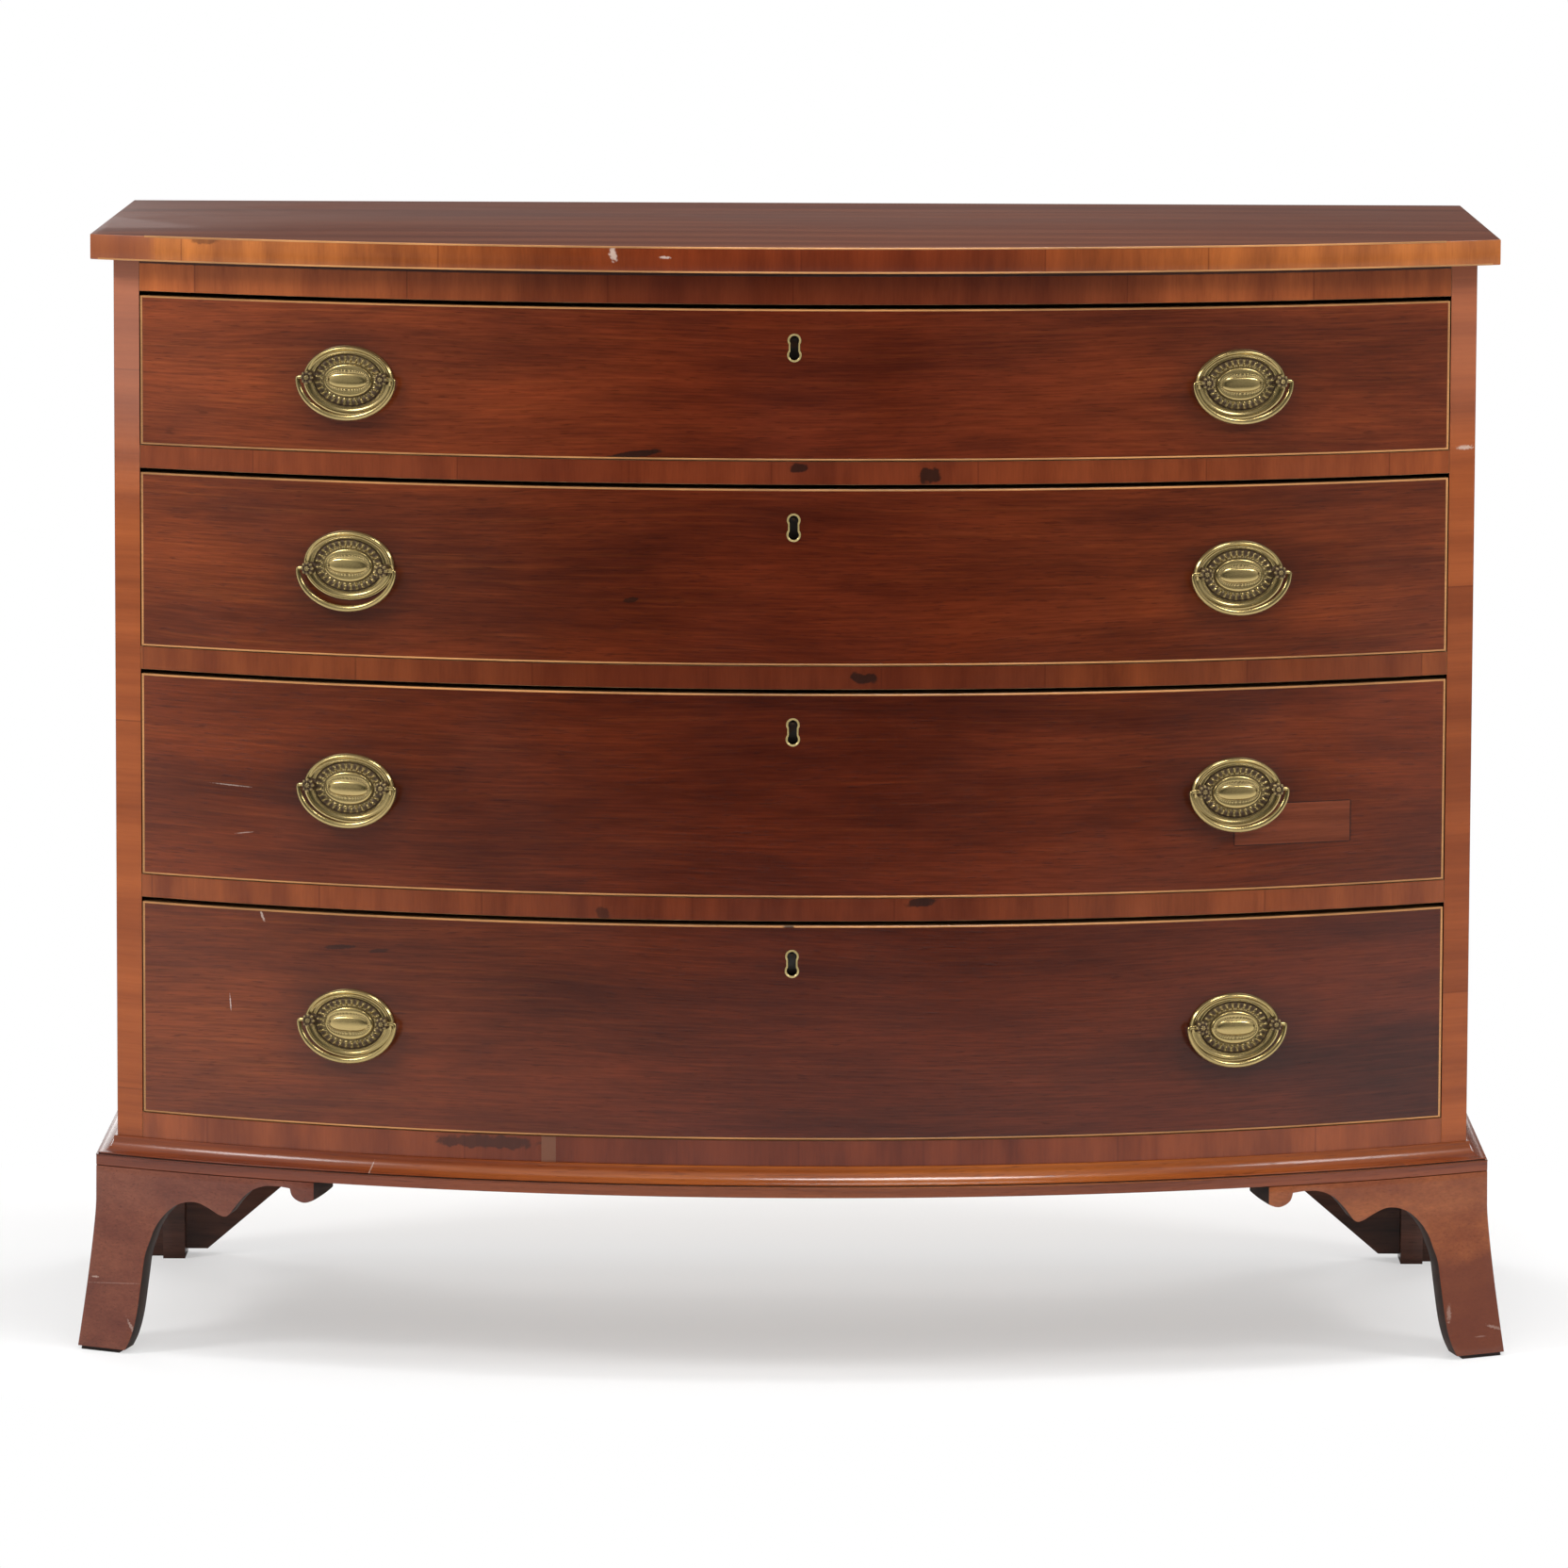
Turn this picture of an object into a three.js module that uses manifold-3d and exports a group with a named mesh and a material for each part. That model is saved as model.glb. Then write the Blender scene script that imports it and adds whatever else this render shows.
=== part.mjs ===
// Bow front chest of drawers: four graduated drawers on bracket feet.
// Millimetres, +Z up, front towards -Y, floor at Z = 0, origin under the middle of the bounding box.
import * as THREE from 'three';
import { mergeVertices } from 'three/addons/utils/BufferGeometryUtils.js';
import Module from 'manifold-3d';

const wasm = await Module();
wasm.setup();

// Driving dimensions of the case
const caseWidth = 1047;
const caseDepth = 433;
const bow = 138;
const sideThickness = 20.5;
const topThickness = 19.5;
const topOverhang = 16.5;
const topBackOverhang = 2;
const footHeight = 143.5;
const bottomRailHeight = 42.2;
const topRailHeight = 24.5;
const dividerThickness = 17.7;
const railDepth = 70;
const runnerWidth = 32;
const backThickness = 10;
const backRebate = 10;
const bottomBoardThickness = 15;
const bottomRailThickness = 25;

// Driving dimensions of the drawers, the top drawer first
const drawerHeights = [114, 133.5, 155, 164];
const gapAboveDrawer = 3.5;
const gapUnderFront = 0.8;
const gapBesideDrawer = 1;
const gapBehindDrawer = 8;
const runningGap = 0.3;
const frontStandsProud = 1;
const frontThickness = 22;
const drawerSideThickness = 10;
const drawerBackThickness = 10;
const drawerBottomThickness = 8;
const grooveDepth = 5;
const grooveLift = 9;
const sideBelowFrontTop = 3;
const backBelowSideTop = 8;

// Fit between glued or nailed pieces that are cut by one another
const fitGap = 0.3;
const cutOverrun = 4;

// An arc in an outline takes twice as many steps as its divisions
const arcDivisions = 12;

// Places that follow from the driving dimensions
const caseHalf = caseWidth / 2;
const openingHalf = caseHalf - sideThickness;
const drawerHalf = openingHalf - gapBesideDrawer;
const overallDepth = topOverhang + bow + caseDepth + topBackOverhang;
const cornerY = topOverhang + bow - overallDepth / 2;
const backY = cornerY + caseDepth;
const backFaceY = backY - backThickness;
const frontRadius = (caseHalf ** 2 + bow ** 2) / (2 * bow);
const arcCentreY = cornerY - bow + frontRadius;
const drawerRadius = frontRadius + frontStandsProud;
const innerRadius = drawerRadius - frontThickness;
const railTopZ = footHeight + bottomRailHeight;

// Underside of each drawer front, the top drawer first, and the underside of the top board
const frontBottoms = [];
let level = railTopZ;
for (const height of [...drawerHeights].reverse()) {
  frontBottoms.unshift(level + gapUnderFront);
  level += gapUnderFront + height + gapAboveDrawer + dividerThickness;
}
const topRailZ = level - dividerThickness;
const topBoardZ = topRailZ + topRailHeight;

const mahogany = { color: 0x7a3a22, roughness: 0.4, metalness: 0 };
const crossbanding = { color: 0x82401f, roughness: 0.45, metalness: 0 };
const pine = { color: 0xb08a5c, roughness: 0.8, metalness: 0 };
const brass = { color: 0x9a8248, roughness: 0.38, metalness: 1 };
const iron = { color: 0x55504a, roughness: 0.55, metalness: 1 };

const chest = new THREE.Group();

function addPiece(parent, name, geometry, finish) {
  const mesh = new THREE.Mesh(geometry, new THREE.MeshStandardMaterial(finish));
  mesh.name = name;
  parent.add(mesh);
  return mesh;
}

// A closed three.js geometry as a solid that can be joined and cut
function solidOf(geometry) {
  const bare = geometry.clone();
  bare.deleteAttribute('normal');
  bare.deleteAttribute('uv');
  const merged = mergeVertices(bare);
  return new wasm.Manifold(new wasm.Mesh({
    numProp: 3,
    vertProperties: new Float32Array(merged.attributes.position.array),
    triVerts: new Uint32Array(merged.index.array),
  }));
}

function geometryOf(solid) {
  const mesh = solid.getMesh();
  const geometry = new THREE.BufferGeometry();
  const points = new Float32Array(mesh.numVert * 3);
  for (let i = 0; i < mesh.numVert; i += 1) {
    points.set(mesh.vertProperties.subarray(i * mesh.numProp, i * mesh.numProp + 3), i * 3);
  }
  geometry.setAttribute('position', new THREE.BufferAttribute(points, 3));
  geometry.setIndex(new THREE.BufferAttribute(new Uint32Array(mesh.triVerts), 1));
  geometry.computeVertexNormals();
  return geometry;
}

function cut(geometry, cutters) {
  let solid = solidOf(geometry);
  for (const cutter of cutters) {
    solid = solid.subtract(solidOf(cutter));
  }
  return geometryOf(solid);
}

function join(geometries) {
  let solid = solidOf(geometries[0]);
  for (const geometry of geometries.slice(1)) {
    solid = solid.add(solidOf(geometry));
  }
  return geometryOf(solid);
}

// A box from its lowest to its highest corner
function boxBetween(low, high) {
  const size = high.map((value, i) => value - low[i]);
  const box = new THREE.BoxGeometry(...size);
  box.translate(...high.map((value, i) => (value + low[i]) / 2));
  return box;
}

// A plan outline raised from one level to another
function raise(shape, fromZ, toZ, curveSegments = arcDivisions) {
  const prism = new THREE.ExtrudeGeometry(shape, {
    depth: toZ - fromZ,
    bevelEnabled: false,
    curveSegments,
  });
  prism.translate(0, 0, fromZ);
  return prism;
}

function polygon(points) {
  return new THREE.Shape(points.map(([x, y]) => new THREE.Vector2(x, y)));
}

function arcY(radius, x) {
  return arcCentreY - Math.sqrt(radius ** 2 - x ** 2);
}

// Adds the bowed front line to a plan outline, from its left end to its right end or back
function addBow(shape, radius, half, toRight = true) {
  const halfAngle = Math.asin(half / radius);
  const left = -Math.PI / 2 - halfAngle;
  const right = -Math.PI / 2 + halfAngle;
  shape.absarc(0, arcCentreY, radius, toRight ? left : right, toRight ? right : left, !toRight);
}

// Joins closed rings of points, all of one length, into a solid with flat ends
function loft(rings, endOutline) {
  const count = rings[0].length;
  const points = rings.flat();
  const faces = [];
  for (let r = 0; r + 1 < rings.length; r += 1) {
    for (let i = 0; i < count; i += 1) {
      const a = r * count + i;
      const b = r * count + ((i + 1) % count);
      faces.push(a, b, b + count, a, b + count, a + count);
    }
  }
  const last = (rings.length - 1) * count;
  for (const [a, b, c] of THREE.ShapeUtils.triangulateShape(endOutline, [])) {
    faces.push(c, b, a, last + a, last + b, last + c);
  }
  const geometry = new THREE.BufferGeometry().setFromPoints(points);
  geometry.setIndex(faces);
  geometry.computeVertexNormals();
  return geometry;
}

// The other hand of a geometry, mirrored across the middle of the chest
function mirrored(geometry) {
  const other = geometry.index ? geometry.toNonIndexed() : geometry.clone();
  other.scale(-1, 1, 1);
  const position = other.attributes.position;
  for (let i = 0; i < position.count; i += 3) {
    const first = new THREE.Vector3().fromBufferAttribute(position, i);
    const second = new THREE.Vector3().fromBufferAttribute(position, i + 1);
    position.setXYZ(i, second.x, second.y, second.z);
    position.setXYZ(i + 1, first.x, first.y, first.z);
  }
  other.computeVertexNormals();
  return other;
}

// Lock and bolt, let into the back of each drawer front
const lockWidth = 62;
const lockHeight = 42;
const lockThickness = 10;
const boltWidth = 24;
const boltThickness = 6;
const boltHeight = 25;
const boltThrow = 9;
const mortiseGap = 0.9;
const mortiseSpare = 2;
const mortiseDepth = boltThrow - gapAboveDrawer + mortiseSpare;
const keyPinRadius = 1.1;
const keyPinLength = 6;
const innerFaceY = arcY(innerRadius, 0);
const boltY = innerFaceY - lockThickness / 2;

// The mortise that the bolt of the drawer below enters
function boltMortise(undersideZ) {
  return boxBetween(
    [-boltWidth / 2 - mortiseGap, boltY - boltThickness / 2 - mortiseGap, undersideZ - cutOverrun],
    [boltWidth / 2 + mortiseGap, boltY + boltThickness / 2 + mortiseGap, undersideZ + mortiseDepth],
  );
}

function topBoard() {
  const half = caseHalf + topOverhang;
  const radius = (half ** 2 + bow ** 2) / (2 * bow);
  const centreY = cornerY - topOverhang - bow + radius;
  const halfAngle = Math.asin(half / radius);
  const outline = new THREE.Shape();
  outline.absarc(0, centreY, radius, -Math.PI / 2 - halfAngle, -Math.PI / 2 + halfAngle, false);
  outline.lineTo(half, backY + topBackOverhang);
  outline.lineTo(-half, backY + topBackOverhang);
  return raise(outline, topBoardZ, topBoardZ + topThickness);
}

function caseSide() {
  const inner = openingHalf;
  const outline = polygon([
    [inner, arcY(frontRadius, inner)],
    [caseHalf, cornerY],
    [caseHalf, backY],
    [inner + backRebate, backY],
    [inner + backRebate, backFaceY],
    [inner, backFaceY],
  ]);
  return raise(outline, footHeight, topBoardZ);
}

function topRail() {
  const outline = new THREE.Shape();
  addBow(outline, frontRadius, openingHalf);
  outline.lineTo(openingHalf, cornerY + railDepth);
  outline.lineTo(-openingHalf, cornerY + railDepth);
  return cut(raise(outline, topRailZ, topBoardZ), [boltMortise(topRailZ)]);
}

// A divider with the two runners that its drawer slides on, glued up as one frame
function divider(undersideZ) {
  const runnerInner = openingHalf - runnerWidth;
  const outline = new THREE.Shape();
  addBow(outline, frontRadius, openingHalf);
  outline.lineTo(openingHalf, backFaceY);
  outline.lineTo(runnerInner, backFaceY);
  outline.lineTo(runnerInner, cornerY + railDepth);
  outline.lineTo(-runnerInner, cornerY + railDepth);
  outline.lineTo(-runnerInner, backFaceY);
  outline.lineTo(-openingHalf, backFaceY);
  return cut(raise(outline, undersideZ, undersideZ + dividerThickness), [boltMortise(undersideZ)]);
}

function bottomRail() {
  const outline = new THREE.Shape();
  addBow(outline, frontRadius, openingHalf);
  addBow(outline, frontRadius - bottomRailThickness, openingHalf, false);
  return raise(outline, footHeight, railTopZ);
}

function bottomBoard() {
  const outline = new THREE.Shape();
  addBow(outline, frontRadius - bottomRailThickness - fitGap, openingHalf);
  outline.lineTo(openingHalf, backFaceY);
  outline.lineTo(-openingHalf, backFaceY);
  return raise(outline, railTopZ - bottomBoardThickness, railTopZ);
}

function backBoard(fromZ, toZ) {
  const half = openingHalf + backRebate;
  return boxBetween([-half, backFaceY, fromZ], [half, backY, toZ]);
}

// Base moulding: its section, from the case outwards, as offset and height above the foot
const mouldingHeight = 22.3;
const mouldingProjection = 16;
const fasciaHeight = 9.6;
const mouldingLip = 1.2;
const arrisProjection = 2.7;
const arrisHeight = 1.8;
const mouldingSegments = 24;

function mouldingSection() {
  const lipEdge = mouldingProjection - mouldingLip;
  const coveReach = lipEdge - arrisProjection;
  const coveTopZ = mouldingHeight - arrisHeight;
  const coveHeight = coveTopZ - fasciaHeight;
  const section = [
    [fitGap, 0],
    [mouldingProjection, 0],
    [mouldingProjection, fasciaHeight - mouldingLip],
    [lipEdge, fasciaHeight],
  ];
  const coveShares = [0.15, 0.35, 0.6, 0.8, 1];
  for (const share of coveShares) {
    const turn = share * Math.PI / 2;
    section.push([lipEdge - coveReach * Math.sin(turn), coveTopZ - coveHeight * Math.cos(turn)]);
  }
  section.push([arrisProjection, mouldingHeight], [fitGap, mouldingHeight]);
  return section;
}

function baseMoulding() {
  const section = mouldingSection();
  const stations = [];
  stations.push((offset) => [caseHalf + offset, backY]);
  for (let i = 0; i <= mouldingSegments; i += 1) {
    const along = 1 - (2 * i) / mouldingSegments;
    stations.push((offset) => {
      const x = along * (caseHalf + offset);
      return [x, arcY(frontRadius + offset, x)];
    });
  }
  stations.push((offset) => [-(caseHalf + offset), backY]);
  const rings = stations.map((station) => section.map(([offset, z]) => {
    const [x, y] = station(offset);
    return new THREE.Vector3(x, y, footHeight + z);
  }));
  const outline = section.map(([offset, z]) => new THREE.Vector2(offset, z));
  return loft(rings, outline);
}

// Bracket feet
const footFlare = 13.5;
const footTaper = 1.2;
const flareHeight = 115;
const flarePower = 1.25;
const footInset = 6.5;
const bracketLength = 187;
const bracketCant = 14;
const footLevels = 7;
const footArcSegments = 6;
const rearBracketThickness = 20;
const rearBracketLength = 220;
const rearBracketFoot = 58;
const rearBracketClear = 5.4;
const rearBlockWidth = 18;

// How far the outside of a foot stands out from the case at a height above the floor
function footOffset(z) {
  const flare = z < flareHeight ? footFlare * ((flareHeight - z) / flareHeight) ** flarePower : 0;
  return mouldingProjection + footTaper * (1 - z / footHeight) + flare;
}

// The lower edge of a bracket: shares of its length from the corner, and of the foot's height
const legShares = [[0.135, 0], [0.166, 0.09], [0.187, 0.21], [0.203, 0.4], [0.214, 0.53], [0.233, 0.61]];
const firstArchShares = [[0.252, 0.68], [0.284, 0.748], [0.33, 0.808], [0.38, 0.84], [0.43, 0.845], [0.475, 0.824]];
const cuspShares = [[0.52, 0.792], [0.55, 0.78], [0.575, 0.8]];
const secondArchShares = [[0.61, 0.865], [0.655, 0.925], [0.71, 0.96], [0.77, 0.967], [0.825, 0.96]];
const lobeShares = [[0.835, 0.92], [0.862, 0.894], [0.895, 0.889], [0.94, 0.915], [0.98, 0.955], [1, 1]];
const bracketShares = [...legShares, ...firstArchShares, ...cuspShares, ...secondArchShares, ...lobeShares];

// The space under a bracket, as distance from the corner and height
function underBracket() {
  const points = bracketShares.map(([along, up]) => [along * bracketLength, up * footHeight]);
  const [startAlong] = points[0];
  const [endAlong] = points.at(-1);
  return [
    [startAlong, -cutOverrun],
    ...points,
    [endAlong + cutOverrun, footHeight + cutOverrun],
    [endAlong + cutOverrun, -cutOverrun],
  ];
}

// The space under the front bracket of the right foot, cut square to the bow
function underFrontBracket() {
  const cornerX = caseHalf + mouldingProjection;
  const faceRadius = frontRadius + mouldingProjection;
  const outline = underBracket();
  const spare = cutOverrun * 4;
  const radii = [frontRadius - footInset - spare, faceRadius + footFlare + spare];
  const rings = radii.map((radius) => outline.map(([along, z]) => {
    const turn = Math.asin((cornerX - along) / faceRadius);
    return new THREE.Vector3(radius * Math.sin(turn), arcCentreY - radius * Math.cos(turn), z);
  }));
  return loft(rings, outline.map(([along, z]) => new THREE.Vector2(cornerX - along, z)));
}

// The space under a side bracket, cut through from side to side; the leg is at cornerAt
function underSideBracket(cornerAt, direction) {
  const outline = polygon(underBracket().map(([along, z]) => [cornerAt + direction * along, z]));
  const width = caseHalf;
  const prism = raise(outline, 0, width);
  prism.applyMatrix4(new THREE.Matrix4().makeBasis(
    new THREE.Vector3(0, 1, 0),
    new THREE.Vector3(0, 0, 1),
    new THREE.Vector3(1, 0, 0),
  ));
  prism.translate(caseHalf - footInset * 2, 0, 0);
  return prism;
}

function levelsOfFoot() {
  return Array.from({ length: footLevels + 1 }, (_, i) => (i / footLevels) * footHeight);
}

function frontFoot() {
  const innerHalf = caseHalf - footInset;
  const innerArc = frontRadius - footInset;
  const endX = caseHalf + mouldingProjection - bracketLength;
  const sideEndY = arcY(frontRadius + mouldingProjection, caseHalf + mouldingProjection) + bracketLength;
  const rings = levelsOfFoot().map((z) => {
    const offset = footOffset(z);
    const outerHalf = caseHalf + offset;
    const ring = [[outerHalf, sideEndY], [innerHalf, sideEndY]];
    for (let i = 0; i <= footArcSegments; i += 1) {
      const x = innerHalf + (endX - innerHalf) * (i / footArcSegments);
      ring.push([x, arcY(innerArc, x)]);
    }
    for (let i = 0; i <= footArcSegments; i += 1) {
      const x = endX + bracketCant + (outerHalf - endX - bracketCant) * (i / footArcSegments);
      ring.push([x, arcY(frontRadius + offset, x)]);
    }
    return ring.map(([x, y]) => new THREE.Vector3(x, y, z));
  });
  const outline = rings[0].map((point) => new THREE.Vector2(point.x, point.y));
  const block = loft(rings, outline);
  const sideCornerY = sideEndY - bracketLength;
  return cut(block, [underFrontBracket(), underSideBracket(sideCornerY, 1)]);
}

// A rear foot: a side bracket like the front one, a plain bracket along the back, and a corner block
function rearFoot() {
  const innerHalf = caseHalf - footInset;
  const sideEndY = backY - bracketLength;
  const backInnerY = backY - rearBracketThickness;
  const backEndX = caseHalf + mouldingProjection - rearBracketLength;
  const blockX = innerHalf - rearBlockWidth;
  const blockY = backInnerY - rearBlockWidth;
  const rings = levelsOfFoot().map((z) => {
    const outerHalf = caseHalf + footOffset(z);
    const ring = [
      [outerHalf, backY],
      [backEndX, backY],
      [backEndX, backInnerY],
      [blockX, backInnerY],
      [blockX, blockY],
      [innerHalf, blockY],
      [innerHalf, sideEndY],
      [outerHalf, sideEndY],
    ];
    return ring.map(([x, y]) => new THREE.Vector3(x, y, z));
  });
  const outline = rings[0].map((point) => new THREE.Vector2(point.x, point.y));
  const block = loft(rings, outline);
  const sideSpace = cut(underSideBracket(backY, -1), [
    boxBetween([0, blockY, -cutOverrun * 2], [innerHalf, backY, footHeight + cutOverrun * 2]),
  ]);
  const slopeTop = backEndX;
  const slopeFoot = caseHalf + mouldingProjection - rearBracketFoot;
  const underBack = raise(polygon([
    [slopeTop - cutOverrun, -cutOverrun],
    [blockX, -cutOverrun],
    [blockX, rearBracketClear],
    [slopeFoot, rearBracketClear],
    [slopeTop, footHeight],
    [slopeTop - cutOverrun, footHeight],
  ]), 0, rearBracketThickness + cutOverrun);
  underBack.rotateX(Math.PI / 2);
  underBack.translate(0, backY + cutOverrun / 2, 0);
  return cut(block, [sideSpace, underBack]);
}

// Pulls: an oval plate with two posts, and a bail hung between the posts
const pullInset = 163.5;
const pullHalfSpread = drawerHalf - pullInset;
const postHalfSpacing = 30;
const plateHalfWidth = 37.1;
const plateHalfHeight = 26.6;
const plateBelowPosts = 2;
const raisedPlateLift = 4.7;
const plateSegments = 16;
const plateThickness = 1.6;
const plateRimHeight = 3.2;
const plateRingHeight = 3.6;
const plateBossHeight = 5;
const bailHeight = 7;
const bailRadius = 2;
const bailHalfWidth = 38.2;
const bailDrop = 31.6;
const bailSocketDepth = 2.6;
const bailSteps = 18;
const bailDivisions = 3;
const postRadius = 4.4;
const postHeadRadius = 5;
const postHeadHeight = 3.4;
const postSides = 8;
const shankRadius = 2.2;
const shankHoleRadius = 2.8;
const shankBehindFront = 8;
const socketRadius = 2.7;
const socketSides = 8;

// Radius and height of the plate's face from its middle out, as shares of the plate and its own heights
const plateRadiusShares = { boss: 0.34, bossFoot: 0.45, ring: 0.67, rimInner: 0.84, rim: 0.94 };

function pullPlate(lift) {
  const share = plateRadiusShares;
  const section = [
    [0, 0],
    [1, 0],
    [1, plateThickness],
    [share.rim, plateRimHeight],
    [share.rimInner, plateThickness],
    [share.ring, plateRingHeight],
    [share.bossFoot, plateThickness],
    [share.boss, plateBossHeight],
    [0, plateBossHeight],
  ].map(([radius, height]) => new THREE.Vector2(radius, height));
  const plate = new THREE.LatheGeometry(section, plateSegments);
  plate.scale(plateHalfWidth, 1, plateHalfHeight);
  plate.rotateX(Math.PI);
  plate.translate(0, 0, lift - plateBelowPosts);
  return plate;
}

// A post with its turned head, its collar under the plate's face and its threaded shank behind
function pullPost(side) {
  const headFrom = bailHeight + socketRadius + fitGap;
  const section = [
    [0, -frontThickness - shankBehindFront],
    [shankRadius, -frontThickness - shankBehindFront],
    [shankRadius, plateThickness / 2],
    [postRadius, plateThickness / 2],
    [postRadius, headFrom],
    [postHeadRadius, headFrom + postHeadHeight / 2],
    [postHeadRadius / 2, headFrom + postHeadHeight],
    [0, headFrom + postHeadHeight],
  ].map(([radius, height]) => new THREE.Vector2(radius, height));
  const post = new THREE.LatheGeometry(section, postSides);
  post.rotateX(Math.PI);
  post.translate(side * postHalfSpacing, 0, 0);
  return post;
}

// The hole in the outer side of a post that takes the end of the bail
function bailSocket(side) {
  const outerX = postHalfSpacing + postRadius;
  const length = bailSocketDepth + fitGap + cutOverrun;
  const hole = new THREE.CylinderGeometry(socketRadius, socketRadius, length, socketSides);
  hole.rotateZ(Math.PI / 2);
  hole.translate(side * (outerX - bailSocketDepth - fitGap + length / 2), -bailHeight, 0);
  return hole;
}

function plateWithPosts(lift) {
  const solid = join([pullPlate(lift), pullPost(-1), pullPost(1)]);
  return cut(solid, [bailSocket(-1), bailSocket(1)]);
}

// The bail's centre line: in from one post, round the lower half of the plate and into the other
const bailEndShares = [[0.93, 0.012], [0.985, 0.075]];
const bailTurnAngles = [14, 28, 42, 56, 70, 80, 90].map((degrees) => THREE.MathUtils.degToRad(degrees));

function bail() {
  const endX = postHalfSpacing + postRadius - bailSocketDepth;
  const half = [[endX, 0]];
  for (const [across, down] of bailEndShares) {
    half.push([bailHalfWidth * across, -bailDrop * down]);
  }
  for (const turn of bailTurnAngles) {
    half.push([bailHalfWidth * Math.cos(turn), -bailDrop * Math.sin(turn)]);
  }
  const other = half.slice(0, -1).reverse();
  const points = [
    ...half.map(([x, z]) => new THREE.Vector3(-x, 0, z)),
    ...other.map(([x, z]) => new THREE.Vector3(x, 0, z)),
  ];
  const path = new THREE.CatmullRomCurve3(points, false, 'centripetal');
  const section = new THREE.Shape();
  section.absarc(0, 0, bailRadius, 0, Math.PI * 2, false);
  return new THREE.ExtrudeGeometry(section, {
    steps: bailSteps,
    curveSegments: bailDivisions,
    extrudePath: path,
  });
}

// Keyhole: a round head over a wider round foot, with a waist between them
const keyholeDrop = 29;
const keyholeHeight = 21.7;
const keyholeHeadRadius = 4.9;
const keyholeFootRadius = 5.35;
const keyholeWaist = 6.4;
const keyholeDivisions = 3;

function keyholeOutline() {
  const headZ = keyholeHeight / 2 - keyholeHeadRadius;
  const footZ = -keyholeHeight / 2 + keyholeFootRadius;
  const waistHalf = keyholeWaist / 2;
  const headTurn = Math.asin(waistHalf / keyholeHeadRadius);
  const footTurn = Math.asin(waistHalf / keyholeFootRadius);
  const outline = new THREE.Shape();
  outline.absarc(0, headZ, keyholeHeadRadius, -Math.PI / 2 + headTurn, Math.PI * 1.5 - headTurn, false);
  outline.absarc(0, footZ, keyholeFootRadius, Math.PI / 2 + footTurn, Math.PI * 2.5 - footTurn, false);
  return outline;
}

function keyhole(centreZ) {
  const depth = frontThickness + cutOverrun * 2;
  const prism = raise(keyholeOutline(), 0, depth, keyholeDivisions);
  prism.rotateX(Math.PI / 2);
  prism.translate(0, arcY(drawerRadius, 0) - cutOverrun + depth, centreZ);
  return prism;
}

// Dovetails that hold the drawer sides into the front
const tailPitch = 38;
const tailNarrowShare = 0.52;
const tailFlareShare = 0.16;
const lapThickness = 5;
const cornerPad = 16;
const padBackY = arcY(innerRadius, drawerHalf);
const tipY = arcY(drawerRadius, drawerHalf) + lapThickness;

function tailPlaces(height) {
  const count = Math.max(2, Math.round(height / tailPitch));
  return Array.from({ length: count }, (_, i) => (height * (i + 1 / 2)) / count);
}

// The outline of a drawer side seen from the side, with its tails at the front end
function sideOutline(fromZ, toZ, length, spare) {
  const height = toZ - fromZ;
  const tails = tailPlaces(height);
  const pitch = height / tails.length;
  const points = [[length, fromZ - spare], [length, toZ + spare], [padBackY, toZ + spare]];
  for (const middle of [...tails].reverse()) {
    const root = (pitch * tailNarrowShare) / 2 + spare;
    const tip = root + pitch * tailFlareShare / 2;
    const z = fromZ + middle;
    points.push([padBackY, z + root], [tipY - spare, z + tip], [tipY - spare, z - tip], [padBackY, z - root]);
  }
  points.push([padBackY, fromZ - spare]);
  return points;
}

function sideBoard(points, innerX, outerX) {
  const board = raise(polygon(points), innerX, outerX);
  board.applyMatrix4(new THREE.Matrix4().makeBasis(
    new THREE.Vector3(0, 1, 0),
    new THREE.Vector3(0, 0, 1),
    new THREE.Vector3(1, 0, 0),
  ));
  return board;
}

function drawerFrontBlank(fromZ, toZ) {
  const padX = drawerHalf - cornerPad;
  const outline = new THREE.Shape();
  addBow(outline, drawerRadius, drawerHalf);
  outline.lineTo(drawerHalf, padBackY);
  outline.lineTo(padX, padBackY);
  addBow(outline, innerRadius, padX, false);
  outline.lineTo(-padX, padBackY);
  outline.lineTo(-drawerHalf, padBackY);
  return raise(outline, fromZ, toZ);
}

// The bottom panel's plan, which runs into a groove in the front and in each side
function bottomOutline(spare) {
  const half = drawerHalf - drawerSideThickness + grooveDepth - fitGap + spare;
  const outline = new THREE.Shape();
  addBow(outline, innerRadius + grooveDepth - fitGap + spare, half);
  outline.lineTo(half, backFaceY - gapBehindDrawer);
  outline.lineTo(-half, backFaceY - gapBehindDrawer);
  return outline;
}

// A turned group at the middle of a pull, with its own -Y pointing out of the drawer
function pullFrame(side, z) {
  const group = new THREE.Group();
  const turn = side * Math.asin(pullHalfSpread / drawerRadius);
  const radius = drawerRadius + fitGap;
  group.position.set(radius * Math.sin(turn), arcCentreY - radius * Math.cos(turn), z);
  group.rotation.z = turn;
  return group;
}

function postHole(side, frame) {
  const length = frontThickness + cutOverrun * 3;
  const hole = new THREE.CylinderGeometry(shankHoleRadius, shankHoleRadius, length, socketSides);
  hole.translate(side * postHalfSpacing, length / 2 - cutOverrun, 0);
  frame.updateMatrixWorld();
  hole.applyMatrix4(frame.matrixWorld);
  return hole;
}

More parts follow.
